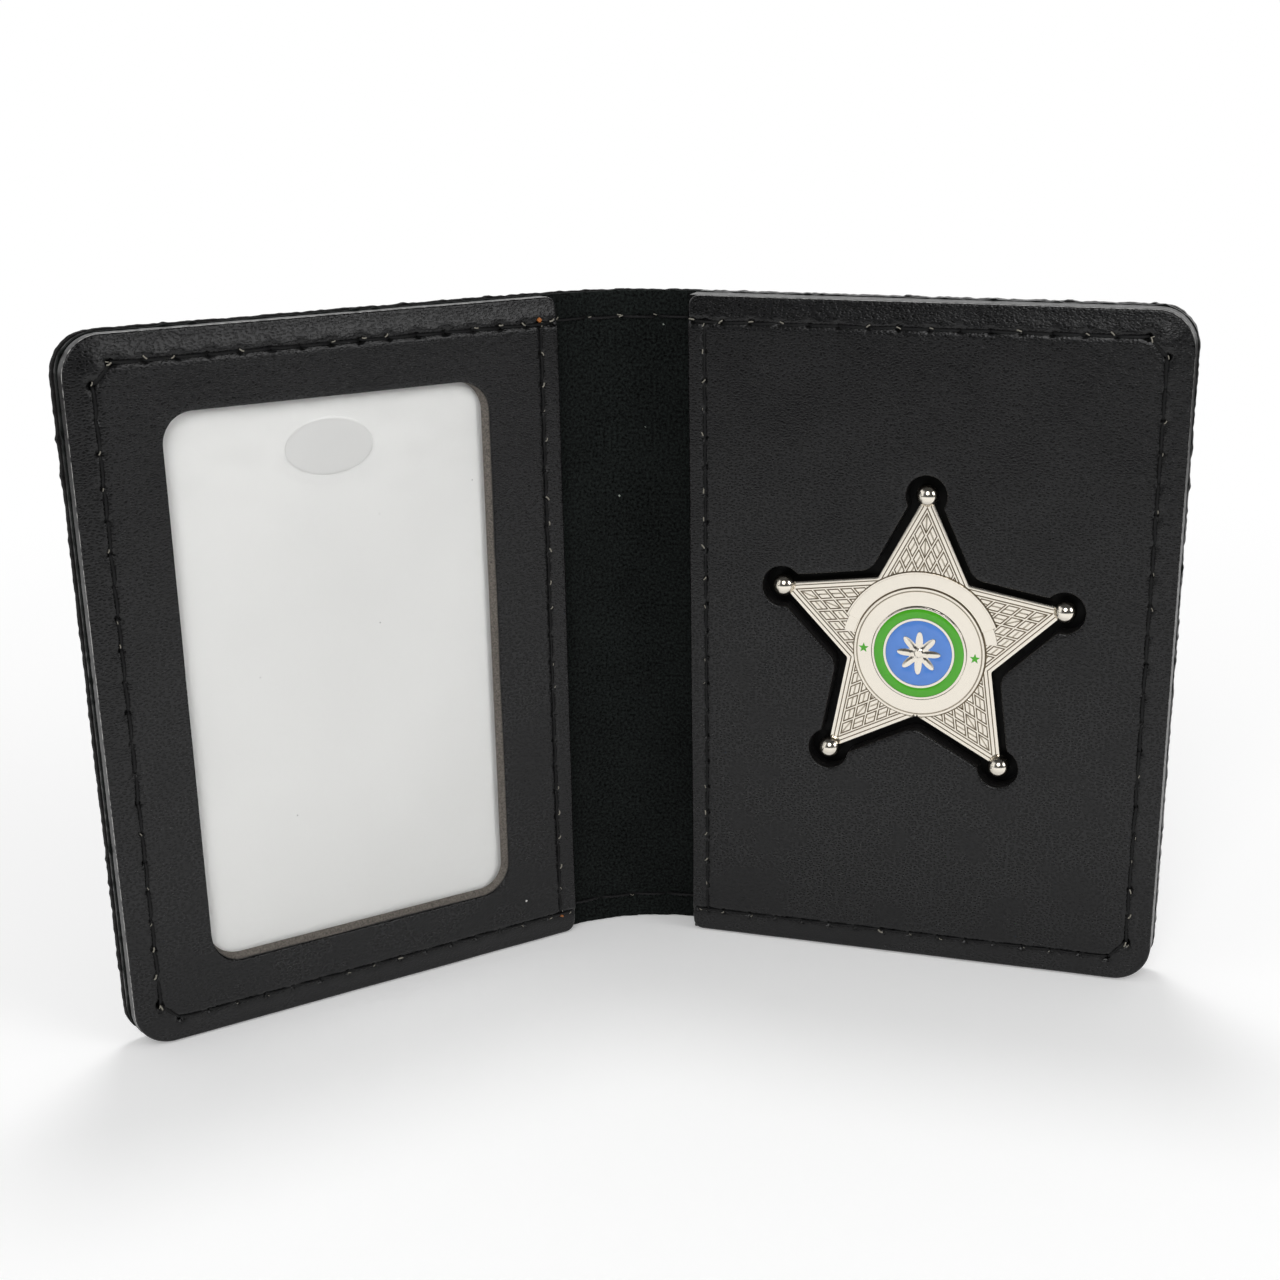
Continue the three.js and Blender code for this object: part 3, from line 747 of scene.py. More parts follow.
def clear_vinyl(tree):
    """Clear soft vinyl sheet, slightly wavy. It mirrors less than new vinyl does, as the real one is
    dull from use, so its IOR is lower."""
    place_on = node(tree, "ShaderNodeTexCoord").outputs["Object"]
    wavy = node(tree, "ShaderNodeTexNoise", {"Vector": place_on, "Scale": 1 / (18 * MM), "Detail": 2})
    glass = node(tree, "ShaderNodeBsdfPrincipled", {
        "Base Color": (1, 1, 1, 1), "Roughness": 0.06, "IOR": 1.3, "Transmission Weight": 1.0,
        "Normal": node(tree, "ShaderNodeBump", {"Height": wavy, "Distance": 0.5 * MM}),
    })
    passing = node(tree, "ShaderNodeBsdfTransparent", {"Color": (0.97, 0.97, 0.97, 1)})
    ray = node(tree, "ShaderNodeLightPath")
    return node(tree, "ShaderNodeMixShader", {0: ray.outputs["Is Shadow Ray"], 1: glass, 2: passing})


def card_plastic(tree):
    """White card core, smooth and slightly glossy, with a few grey specks of dust."""
    place_on = node(tree, "ShaderNodeTexCoord").outputs["Object"]
    cloud = node(tree, "ShaderNodeTexNoise", {"Vector": place_on, "Scale": 1 / (30 * MM), "Detail": 2})
    specks = node(tree, "ShaderNodeTexVoronoi", {"Vector": place_on, "Scale": 1 / (5.5 * MM)})
    small = node(tree, "ShaderNodeMath", {0: specks, 1: 0.02}, operation="LESS_THAN")
    tone = node(tree, "ShaderNodeMapRange", {**NOISE_SPAN, "Value": cloud, "To Min": 0.97, "To Max": 1.03})
    white = node(tree, "ShaderNodeVectorMath", {0: tuple(colours().card), "Scale": tone}, operation="SCALE")
    dusty = node(tree, "ShaderNodeMix", {"Factor": small, "A": white, "B": rgba("#8d8d8b")},
                 data_type="RGBA")
    return node(tree, "ShaderNodeBsdfPrincipled", {"Base Color": dusty, "Roughness": 0.45})


def plain_finish(tree, colour, roughness, grain, depth, more):
    """A finish of one colour, whose gloss a fine unevenness of that grain and depth breaks up."""
    place_on = node(tree, "ShaderNodeTexCoord").outputs["Object"]
    uneven = node(tree, "ShaderNodeTexNoise", {"Vector": place_on, "Scale": 1 / grain, "Detail": 3})
    return node(tree, "ShaderNodeBsdfPrincipled", {
        "Base Color": rgba(colour if colour[0] == "#" else getattr(colours(), colour)),
        "Roughness": node(tree, "ShaderNodeMapRange", {
            **NOISE_SPAN, "Value": uneven, "To Min": roughness * 0.8, "To Max": roughness * 1.2}),
        "Normal": node(tree, "ShaderNodeBump", {"Height": uneven, "Distance": depth}),
        **more,
    })


# Each finish: its material's name and the function that adds its shader
FINISHES = {
    "leather": ("grained_leather", grained_leather),
    "edge": ("inked_edge", inked_edge),
    # The arris finish: the inked edge with a painted highlight along its front arris.
    "arris": ("worn_inked_edge", lambda tree: inked_edge(tree, True)),
    "raw": ("raw_edge", raw_edge),
    "suede": ("suede", suede),
    "nickel": ("polished_nickel", polished_nickel),
    "vinyl": ("clear_vinyl", clear_vinyl),
    "card": ("card_plastic", card_plastic),
}

# Each finish of one colour: its material's name, a hex value or the name of a colour in the sidebar,
# its roughness, the width and depth of its unevenness and further inputs of its shader
PLAIN_FINISHES = {
    "thread": ("waxed_thread", "thread", 0.55, 0.15 * MM, 0.03 * MM, {"Specular IOR Level": 0.3}),
    # The fibre finish is partly a painted highlight of the glints at the awl holes.
    "fibre": ("torn_fibre", "fibre", 0.7, 0.2 * MM, 0.05 * MM, {}),
    "knot": ("melted_thread", "knot", 0.3, 0.4 * MM, 0.08 * MM, {}),
    "cut": ("cut_cover_leather", "#0c0b0b", 0.8, 0.25 * MM, 0.12 * MM, {"Specular IOR Level": 0.25}),
    "board": ("inked_board", "#191817", 0.7, 0.4 * MM, 0.05 * MM, {}),
    "lacquer": ("black_board", "#050505", 0.45, 0.8 * MM, 0.04 * MM, {"Specular IOR Level": 0.12}),
    "rim": ("frosted_vinyl_edge", "#d4d5d2", 0.6, 0.4 * MM, 0.03 * MM, {}),
    "blue": ("blue_enamel", "blue", 0.1, 2 * MM, 0.004 * MM, {}),
    "green": ("green_enamel", "green", 0.1, 2 * MM, 0.004 * MM, {}),
    "steel": ("turned_steel", "#b9b4a8", 0.28, 0.3 * MM, 0.01 * MM, {"Metallic": 1.0}),
}
MADE_FINISHES = {}


def finish(name):
    """One of the finishes, made when it is first asked for."""
    if name not in MADE_FINISHES:
        if name in PLAIN_FINISHES:
            material_name, *look = PLAIN_FINISHES[name]
            MADE_FINISHES[name] = material(material_name, lambda tree: plain_finish(tree, *look))
        else:
            MADE_FINISHES[name] = material(*FINISHES[name])
    return MADE_FINISHES[name]


def finishes(*names):
    return [finish(name) for name in names]


# Sheets of leather, board and card

COVER_THICKNESS = 1.2 * MM
LINING_BACK = -0.78 * MM
BOARD_DROP = 0.18 * MM


def level(value):
    return lambda flat: np.full(len(flat), value)


def cover_front(flat):
    """The cover lies further back where the stiffener is under it, and eases in round the spine."""
    window = flat_box("stiffener_window_side")[0][2] - LINING_GAP
    badge = flat_box("badge_backing")[0][2] - 0.6 * MM - 2 * LINING_GAP
    return window + (badge - window) * smooth(0, SPINE, flat[:, 0])


def bend_with(piece, side):
    """Bakes the placing of a piece that goes round the spine into its mesh, the same for either side."""
    if side < 0:
        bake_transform(piece)
    else:
        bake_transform(piece)


def on_badge_leaf(flat):
    return flat[:, 0] > SPINE + 0.5 * MM


def half_loop(side, spacing, margin, fringe, seed):
    """The ragged outline of the cover or the lining on one side, square at mid-spine."""
    edge = inset(outline(half_corners(side), spacing), margin)
    edge[np.abs(edge[:, 0] - MID_SPINE) < 0.2 * MM, 0] = MID_SPINE
    return ragged(edge, fringe, seed)


def cover():
    """The cover leather, as two halves that meet in the middle of the spine."""
    for side, name in ((-1, "cover_window"), (1, "cover_badge")):
        loop = half_loop(side, 0.15 * MM, 0.08 * MM, leather_sizes().fringe, 3 + side)

        def back(flat, side=side):
            pull = sewn(flat, side, with_row=False)
            return cover_front(flat) - COVER_THICKNESS + pull + 0.03 * MM * waves(flat, 16 * MM, 5)

        piece = slab(name, [loop], cover_front, back, finishes("cut", "cut", "leather", "edge"), 0.2 * MM,
                     seam_points(side, [loop], 0.3 * MM, 1.3 * MM, False), joint=True, inked=on_badge_leaf)
        if side < 0:
            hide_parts("cover_window_side", "cover_spine")
        else:
            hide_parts("cover_badge_side")
        bend_with(piece, side)


def lining():
    """The suede lining, as two halves that meet in the middle of the spine."""
    for side, name in ((-1, "lining_window"), (1, "lining_badge")):
        loop = half_loop(side, 0.2 * MM, 0.12 * MM, leather_sizes().fringe * 0.7, 13 + side)

        def front(flat, side=side):
            return 0.02 * MM * waves(flat, 6 * MM, 8) - 0.8 * sewn(flat, side, with_row=False)

        piece = slab(name, [loop], front, level(LINING_BACK), finishes("suede", "suede", "suede", "edge"),
                     0.12 * MM, seam_points(side, [loop], 0.3 * MM, 1.3 * MM, False), joint=True,
                     inked=on_badge_leaf)
        if side < 0:
            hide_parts("lining_window_side", "lining_spine")
        else:
            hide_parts("lining_badge_side")
        bend_with(piece, side)


def stiffener():
    """The board between the window leaf's cover and its lining, as wide as the leaf."""
    low, high = flat_box("stiffener_window_side")
    loop = outline(leaf_corners(-1, 0.35 * MM), 1.0 * MM)
    piece = slab("window_stiffener", [loop], level(high[2]), level(low[2] - BOARD_DROP),
                 finishes("board", "edge", "board"), 0.1 * MM)
    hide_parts("stiffener_window_side")
    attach(piece, "window_leaf")


def pressed(flat, plateau, drop):
    """A sewn panel's face: it slopes back from just inside its seam to its outer edge."""
    slope = 1 - smooth(0, leather_sizes().seam_inset + 1.2 * MM, depth_in(flat))
    swell = 0.035 * MM * waves(flat, 22 * MM, 21) + 0.02 * MM * waves(flat, 9 * MM, 4)
    return plateau - drop * slope + swell


def box_loop(low, high, radius, spacing):
    """An upright box with round corners, anticlockwise."""
    corners = [(low[0], low[1], radius), (high[0], low[1], radius), (high[0], high[1], radius),
               (low[0], high[1], radius)]
    return outline(corners, spacing)


def window_loop(spacing):
    """The window's cut-out, clockwise."""
    low, high = flat_box("id_card")
    lip, radius = 2.2 * MM, 4.5 * MM
    left, right, foot, top = low[0] + lip, high[0] - lip, low[1] + lip, high[1] - lip
    return outline([(x, y, radius) for x, y in ((left, foot), (left, top), (right, top), (right, foot))],
                   spacing)


def dents(side):
    """How sunk a sewn face is at flat places, from 0 to 1, for the finish to darken it with painted shade.
    """
    return lambda flat: np.clip(sewn(flat, side) / leather_sizes().dent, 0, 1)


PANEL_GAP = 0.3 * MM
PANEL_INNER_RADIUS = 1.5 * MM
PANEL_SPACING = 0.35 * MM
WALL_LEAN = 1.0 * MM


def window_panel():
    """Inner panel of the window leaf: grained face, inked outer edge and a raw cut window, whose
    wall leans where the knife came in from the spine and from above."""
    high = flat_box("window_panel")[1]
    card_low, card_high = flat_box("id_card")
    loop = outline(leaf_corners(-1, PANEL_GAP, PANEL_INNER_RADIUS), PANEL_SPACING)
    window = window_loop(PANEL_SPACING)
    to_spine, to_foot = (unit(window - inset(window, 1 * MM)) @ np.array(((-1, 0), (0, 1)))).clip(0, 1).T
    lean = np.column_stack((-to_spine, to_foot)) * WALL_LEAN
    window = window - lean / 2
    pocket_floor = high[2] - 1.2 * MM
    panel_back = 0.05 * MM
    beside = 1 * MM

    def front(flat):
        return pressed(flat, high[2], WINDOW_DROP) - sewn(flat, -1)

    def back(flat):
        edge = np.min([
            flat[:, 0] - card_low[0] + beside, flat[:, 1] - card_low[1] + beside,
            card_high[1] + beside - flat[:, 1],
        ], axis=0)
        edge = np.where(flat[:, 0] > card_high[0], 0, edge)
        return panel_back + (pocket_floor - panel_back) * smooth(0, 0.6 * MM, edge)

    piece = slab("window_panel_leather", [loop, window], front, back,
                 finishes("leather", "arris", "leather", "raw"), leather_sizes().edge,
                 seam_points(-1, [loop], 0.24 * MM, 1.1 * MM), steps=4, sunk=dents(-1), lean=lean)
    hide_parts("window_panel")
    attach(piece, "window_leaf")


def clear_sheet():
    """Clear sheet over the card, with an oval slot for a thumb."""
    low, high = flat_box("clear_window")
    middle = np.array((-37.5 * MM, LEAF_HEIGHT / 2 + 33.3 * MM))
    half_width, half_height = 6.75, 4
    angles = -np.linspace(0, 2 * math.pi, 65)[:-1]
    slot = middle + np.column_stack((np.cos(angles) * half_width * MM, np.sin(angles) * half_height * MM))

    def bow(flat):
        return 0.06 * MM * waves(flat, 30 * MM, 31)

    def front(flat):
        x, y = (flat[:, :2] - middle).T
        off_slot = np.hypot(x / half_width, y / half_height) - 1 * MM
        return bow(flat) + high[2] - 0.03 * MM - 0.18 * MM * (1 - smooth(0, 0.35 * MM, off_slot))

    near_slot = [middle + (slot - middle) * grow for grow in (1.1, 1.22, 1.36)]
    piece = slab("clear_sheet", [box_loop(low, high, 1 * MM, 2 * MM), slot], front,
                 lambda flat: bow(flat) + low[2] + 0.03 * MM, finishes("vinyl", "vinyl", "vinyl", "rim"),
                 0.02 * MM, np.concatenate([grid(low[:2], high[:2], 2.5 * MM)] + near_slot), steps=2)
    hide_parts("clear_window")
    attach(piece, "window_leaf")


def identity_card():
    """The plain white card in its pocket."""
    low, high = flat_box("id_card")
    piece = slab("white_card", [box_loop(low, high, 3.2 * MM, 0.5 * MM)], level(high[2]), level(low[2]),
                 finishes("card", "card", "card"), 0.08 * MM)
    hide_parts("id_card")
    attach(piece, "card")


# The star badge and what carries it

# Half the angle from one arm of the star to the next
FIFTH = math.pi / 5
POST_PLACES = ((-7 * MM, 0.0), (7 * MM, 0.0))
POST_BORE = 0.95 * MM
NUT_SINK = 2.86 * MM
NUT_DEPTH = 1.3 * MM
RECESS_SPACING = 0.25 * MM
STAR_THICKNESS = 1.6 * MM


def star_centre():
    """The badge's centre as (run, up): the middle between the two posts' nuts."""
    left, right = (np.mean(unplace([v.co for v in frame["nodes"][name].data.vertices], True), axis=0)
                   for name in ("post_nut_left", "post_nut_right"))
    return ((left + right) / 2)[:2]


def swung(points, angle):
    """Points turned clockwise round the star's centre."""
    x, y = np.asarray(points, float).T
    return np.column_stack((x * np.cos(angle) + y * np.sin(angle), y * np.cos(angle) - x * np.sin(angle)))


def on_star(points, drop=0.0):
    """Points measured from the star's centre, or from the ring's below it, as flat places."""
    return star_centre() + swung(np.asarray(points, float) - (0, drop), badge_sizes().tilt)


def on_ring(points):
    return on_star(points, badge_sizes().ring_drop)


def from_star(flat):
    """Flat places as points measured from the star's centre."""
    return swung(flat[:, :2] - star_centre(), -badge_sizes().tilt)


def circle(radius, count, centre=(0.0, 0.0)):
    """Points of a circle, anticlockwise."""
    angles = np.linspace(0, 2 * math.pi, count + 1)[:-1]
    return np.array(centre) + radius * np.column_stack((np.cos(angles), np.sin(angles)))


def half_turn(angles):
    """Angles brought between half a turn back and half a turn on."""
    return (angles + math.pi) % (2 * math.pi) - math.pi


def flank():
    """The right flank of the top arm: its point at the tip, and its direction towards the notch."""
    sizes = badge_sizes()
    tip = np.array((sizes.tip_half, sizes.tip_radius))
    notch = np.array((math.sin(FIFTH), math.cos(FIFTH))) * sizes.notch_radius
    return tip, unit(notch - tip)


def star_corners(offset, notch_round):
    """Corners of the star, its flanks moved outwards by offset, as (x, y, radius) clockwise."""
    sizes = badge_sizes()
    tip, along = flank()
    start = tip + offset * np.array((-along[1], along[0]))
    ray = np.array((math.sin(FIFTH), math.cos(FIFTH)))
    notch = ray * np.cross(start, along) / np.cross(ray, along)
    half = start[0] + along[0] * (sizes.tip_radius - start[1]) / along[1]
    ends = [(-half, sizes.tip_radius), (half, sizes.tip_radius)]
    if half <= 0:
        ends = [(0.0, start[1] - along[1] * start[0] / along[0])]
    corners = []
    for arm in range(5):
        corners += [(*end, 0.0) for end in swung(ends, 2 * FIFTH * arm)]
        corners.append((*swung([notch], 2 * FIFTH * arm)[0], notch_round))
    return corners


def ball_places():
    """The centres of the five balls, measured from the star's."""
    ball = [(0.0, badge_sizes().ball_circle)]
    return np.concatenate([swung(ball, 2 * FIFTH * arm) for arm in range(5)])


def recess_loop(spacing):
    """The recess round the star, clockwise, as flat places: it swells round each ball."""
    sizes = badge_sizes()
    star = outline(star_corners(sizes.clearance, sizes.notch_round), spacing)
    reach = sizes.ball_radius + sizes.clearance
    points = []
    for arm, centre in enumerate(ball_places()):
        angle = half_turn(np.arctan2(*star.T) - 2 * FIFTH * arm)
        near = (np.abs(angle) < FIFTH + 1e-9) & (np.linalg.norm(star - centre, axis=1) > reach)
        out = np.linalg.norm(star, axis=1)
        left, right = (np.flatnonzero(near & half) for half in (angle < 0, angle >= 0))
        left, right = star[left[np.argsort(out[left])]], star[right[np.argsort(-out[right])]]
        start, last = (math.atan2(*(end - centre)) for end in (left[-1], right[0]))
        sweep = (last - start) % (2 * math.pi)
        steps = math.ceil(sweep * reach / spacing)
        turns = start + sweep * np.arange(1, steps) / steps
        points += [left, centre + reach * np.column_stack((np.sin(turns), np.cos(turns))), right]
    loop = np.concatenate(points)
    return on_star(loop[np.linalg.norm(loop - np.roll(loop, 1, axis=0), axis=1) > 0.02 * MM])


def distance_to(flat, spots):
    """How far each flat place lies from the nearest of some spots."""
    return np.min([np.hypot(*(flat[:, :2] - spot).T) for spot in spots], axis=0)


def badge_panel():
    """Inner panel of the badge leaf, cut out round the star."""
    low, high = flat_box("badge_panel")
    loop = outline(leaf_corners(1, PANEL_GAP, PANEL_INNER_RADIUS), PANEL_SPACING)
    recess = recess_loop(RECESS_SPACING)
    brink = recess[::3]

    def front(flat):
        pressed_in = 0.07 * MM * np.exp(-(distance_to(flat, brink) / (0.5 * MM)) ** 2)
        return pressed(flat, high[2], BADGE_DROP) - sewn(flat, 1) - pressed_in

    around = grid(recess.min(0) - 2 * MM, recess.max(0) + 2 * MM, 0.4 * MM)
    extra = (seam_points(1, [loop], 0.24 * MM, 1.1 * MM), around[distance_to(around, brink) < 1.8 * MM])
    piece = slab("badge_panel_leather", [loop, recess], front, level(low[2]),
                 finishes("leather", "arris", "leather", "edge"), leather_sizes().edge,
                 np.concatenate(extra), steps=4, sunk=dents(1))
    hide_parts("badge_panel")
    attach(piece, "badge_leaf")


def badge_boards():
    """The spacer that makes the recess deep, and the lacquered board behind the star."""
    loop = outline(leaf_corners(1, PANEL_GAP), 0.8 * MM)
    low = flat_box("badge_spacer")[0]
    panel_back = flat_box("badge_panel")[0][2]
    spacer = slab("recess_spacer", [loop, recess_loop(RECESS_SPACING)], level(panel_back - 0.02 * MM),
                  level(low[2] - BOARD_DROP), finishes("lacquer", "edge", "lacquer", "edge"), 0.08 * MM)
    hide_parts("badge_spacer")
    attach(spacer, "badge_leaf")
    board_low, board_high = flat_box("badge_backing")
    posts = on_star(POST_PLACES)

    def back(flat):
        return board_low[2] - 0.15 * MM + NUT_DEPTH * (distance_to(flat, posts) < NUT_SINK)

    holes = [on_star(circle(POST_BORE, 32, spot)[::-1]) for spot in POST_PLACES]
    rims = [on_star(circle(NUT_SINK + shift, 48, spot))
            for spot in POST_PLACES for shift in (-0.01 * MM, 0.01 * MM)]
    board = slab("recess_floor", [loop] + holes, level(board_high[2]), back,
                 finishes("lacquer", "edge", "board"), 0.06 * MM,
                 lines=[np.vstack((rim, rim[:1])) for rim in rims])
    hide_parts("badge_backing")
    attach(board, "badge_leaf")
    for name in ("post_nut_left", "post_nut_right"):
        nut = frame["nodes"][name].data
        nut.materials.clear()
        nut.materials.append(finish("steel"))


def arm_coordinates(points):
    """For each point, its distances from the left and the right flank of the arm that it lies in, and
    its place as if that arm were the top one."""
    tip, along = flank()
    inward = np.array((along[1], -along[0]))
    arm = np.round(np.arctan2(*points.T) / (2 * FIFTH))
    x, y = swung(points, -arm * 2 * FIFTH).T
    left, right = ((across - tip[0]) * inward[0] + (y - tip[1]) * inward[1] for across in (-x, x))
    return left, right, x


# The relief of an arm. Heights are over the star's rim, and each pair below is a distance and the
# height there, in millimetres: from the rim, and from a line of the leaf lattice.
LATTICE_START = 1.39 * MM
LATTICE_ROWS = 6
RIM_STEPS = ((0, 0), (0.04, -0.13), (0.13, -0.13), (0.17, -0.02))
RIDGE_STEPS = ((0.09, 0.0), (0.13, -0.14), (0.24, -0.14), (0.28, -0.02))
# Where patina lies: between two distances from a line, and about a distance from the rim's edge
RIDGE_STAIN = (0.12 * MM, 0.25 * MM)
RIM_REACH = 0.18 * MM
RIM_STAIN_AT = 0.085 * MM
RIM_STAIN_HALF = 0.055 * MM
VEIN_STAIN = 0.55
VEIN_HALF = 0.12 * MM
VEIN_STEEP = 0.05 * MM
VEIN_DEPTH = 0.09 * MM
VEIN_ENDS = (0.17, 0.85)


def stepped(value, steps):
    """The height at a distance, from pairs of distance and height in millimetres."""
    at, heights = np.array(steps).T * MM
    return np.interp(value, at, heights)


def arm_relief(points):
    """Height over the rim of an arm's relief, and how much patina lies there, from 0 to 1."""
    sizes = badge_sizes()
    left, right, x = arm_coordinates(points)
    edge = np.minimum(left, right)
    p, q = (left - LATTICE_START) / sizes.cell, (right - LATTICE_START) / sizes.cell
    a, b = p - np.floor(p), q - np.floor(q)
    line = np.min([a, 1 - a, b, 1 - b], axis=0) * sizes.cell
    line = np.where(edge < LATTICE_START, LATTICE_START - edge, line)
    height = stepped(line, RIDGE_STEPS)
    patina = ((line > RIDGE_STAIN[0]) & (line < RIDGE_STAIN[1])) * 1.0
    in_rim = edge < sizes.rim + RIM_REACH
    height = np.where(in_rim, stepped(edge - sizes.rim, RIM_STEPS), height)
    rim_stain = np.abs(edge - sizes.rim - RIM_STAIN_AT) < RIM_STAIN_HALF
    patina = np.where(in_rim, rim_stain * 1.0, patina)
    middle = np.floor(p) == np.floor(q)
    across = np.where(middle, np.abs(x), np.where(p < q, np.abs(a - 0.5), np.abs(b - 0.5)) * sizes.cell)
    along = np.where(middle, (a + b) / 2, np.where(p < q, b, a))
    vein = 1 - ramp(VEIN_HALF - VEIN_STEEP, VEIN_HALF, across)
    vein = vein * (along > VEIN_ENDS[0]) * (along < VEIN_ENDS[1]) * (edge > LATTICE_START)
    return height - VEIN_DEPTH * vein, np.maximum(patina, VEIN_STAIN * vein)


def from_flanks(left, right):
    """The point of the top arm that lies so far from its left and its right flank."""
    tip, along = flank()
    x = (right - left) / (2 * along[1])
    return np.array((x, tip[1] - (left + right + 2 * tip[0] * along[1]) / (2 * along[0])))


# The ring and the banner round it. Distances are from the ring's edge, heights from the star's rim.
BANNER_HALF = math.radians(66)
BANNER_TAIL = math.radians(78)
BANNER_GAP = 0.28 * MM
TAIL_INSET = 0.5 * MM
TAIL_SHIFT = 0.15 * MM
RAIL_FOOT = 0.28 * MM
RAIL_TOP = 0.22 * MM
RAIL_HEIGHT = 0.07 * MM
END_ANGLE = 0.008
STEP_WIDTH = 0.04 * MM
CHORD_SLACK = 0.004 * MM
PLAIN_FLOOR = -0.1 * MM
BELOW_ALL = -1.2 * MM
BANNER_THICKNESS = 1.44 * MM
TAIL_THICKNESS = 1.28 * MM
RING_HEIGHT = 0.35 * MM
RING_THICKNESS = 1.4 * MM
GROOVE_AT = -0.42 * MM
GROOVE_HALVES = (0.05 * MM, 0.11 * MM)
GROOVE_DEPTH = 0.09 * MM
SEAL_GAP = 0.1 * MM
SEAT_DEPTH = 0.45 * MM


def from_ring(points):
    """How far beyond the ring each point lies, and its angle from straight up."""
    x, y = points[:, 0], points[:, 1] + badge_sizes().ring_drop
    return np.hypot(x, y) - badge_sizes().ring_radius, np.abs(np.arctan2(x, y))


def covered(points, margin=0.0):
    """True where the ring, the banner or its tails take the place of the arms' relief."""
    beyond, angle = from_ring(points)
    banner = badge_sizes().banner
    reach = np.where(angle < BANNER_HALF, banner, np.where(angle < BANNER_TAIL, banner - TAIL_INSET, 0))
    return beyond < reach + margin


def raised_height(points):
    """Height over the rim level of the ring and the banner, very low where neither is."""
    sizes = badge_sizes()
    beyond, angle = from_ring(points)
    seat = sizes.seal_radius + SEAL_GAP - sizes.ring_radius
    groove = GROOVE_DEPTH * (1 - ramp(*GROOVE_HALVES, np.abs(beyond - GROOVE_AT)))
    inner_step = SEAT_DEPTH * (1 - ramp(seat - STEP_WIDTH, seat, beyond))
    outer_step = RING_THICKNESS * ramp(0, STEP_WIDTH, beyond)
    ring = RING_HEIGHT - groove - inner_step - outer_step
    outer = sizes.banner

    def band(low, high, half):
        inner_wall = ramp(low - STEP_WIDTH, low - CHORD_SLACK, beyond)
        outer_wall = 1 - ramp(high, high + STEP_WIDTH, beyond)
        return np.min([inner_wall, outer_wall, 1 - ramp(half, half + END_ANGLE, angle)], axis=0)

    rail = RAIL_HEIGHT * ramp(outer - RAIL_FOOT, outer - RAIL_TOP, beyond)
    banner = (BANNER_THICKNESS + rail) * band(BANNER_GAP, outer, BANNER_HALF)
    tails = TAIL_THICKNESS * band(BANNER_GAP + TAIL_SHIFT, outer - TAIL_INSET, BANNER_TAIL)
    return np.max([ring, banner + BELOW_ALL, tails + BELOW_ALL], axis=0)


def lattice_lines():
    """The lines along which the relief of the arms changes slope, as pairs of ends, measured from the
    star's centre."""
    sizes = badge_sizes()
    ridge = [at * MM for at, _ in RIDGE_STEPS]
    lines = []
    for depth in [sizes.rim + at * MM for at, _ in RIM_STEPS] + [LATTICE_START - at for at in ridge]:
        loop = np.array([corner[:2] for corner in star_corners(-depth, 0.0)])
        lines += list(zip(loop, np.roll(loop, -1, axis=0)))
    first = LATTICE_START - ridge[0]
    in_arm = []
    for k in range(LATTICE_ROWS):
        for shift in [-at for at in ridge] + ridge:
            if k or shift > 0:
                left = LATTICE_START + k * sizes.cell + shift
                in_arm.append((from_flanks(left, first), from_flanks(left, 16 * MM)))
        for i in range(k, LATTICE_ROWS):
            low, high = (LATTICE_START + (i + share) * sizes.cell for share in VEIN_ENDS)
            for shift in (-VEIN_HALF, VEIN_STEEP - VEIN_HALF, VEIN_HALF - VEIN_STEEP, VEIN_HALF):
                middle = LATTICE_START + (k + 0.5) * sizes.cell + shift
                if i > k:
                    in_arm.append((from_flanks(middle, low), from_flanks(middle, high)))
                else:
                    in_arm.append([from_flanks(end, end) + (shift, 0) for end in (low, high)])
    for line in in_arm:
        for arm in range(5):
            lines += [swung(line, 2 * FIFTH * arm), swung(np.array(line) * (-1, 1), 2 * FIFTH * arm)]
    return [np.array(line) for line in lines]


def stretches(shown):
    """The stretches of consecutive true values, as arrays of two or more indices."""
    runs = np.split(np.arange(len(shown)), np.flatnonzero(np.diff(shown.astype(int))) + 1)
    return [run for run in runs if shown[run[0]] and len(run) > 1]


def bare_parts(lines, core, fine=0.02 * MM, coarse=0.35 * MM):
    """The parts of straight lines of the relief that show on the star, as lines of points."""
    counts = [max(2, math.ceil(np.linalg.norm(line[1] - line[0]) / fine)) for line in lines]
    along = [line[0] + (line[1] - line[0]) * np.linspace(0, 1, count)[:, None]
             for line, count in zip(lines, counts)]
    points = np.concatenate(along)
    arm = np.concatenate([np.full(count, round(math.atan2(*line.mean(0)) / (2 * FIFTH)))
                          for line, count in zip(lines, counts)])
    off_arm = np.abs(half_turn(np.arctan2(*points.T) - 2 * FIFTH * arm))
    shown = within(on_star(points), [core]) & ~covered(points, STEP_WIDTH) & (off_arm < FIFTH + 1e-6)
    found = []
    for part, good in zip(along, np.split(shown, np.cumsum(counts)[:-1])):
        for run in stretches(good):
            found.append(on_star(spread(part[run[[0, -1]]], max(1, math.ceil(len(run) * fine / coarse)))))
    return found


def arc(radius, first, last, step=0.03):
    """Points of an arc from one angle to another, at whole steps between its ends, so that arcs of
    different radii have their points on the same rays."""
    low, high = sorted((first, last))
    between = np.arange(math.floor(low / step) + 1, math.ceil(high / step)) * step
    angles = np.concatenate(([low], between, [high]))
    return np.column_stack((np.sin(angles), np.cos(angles))) * radius


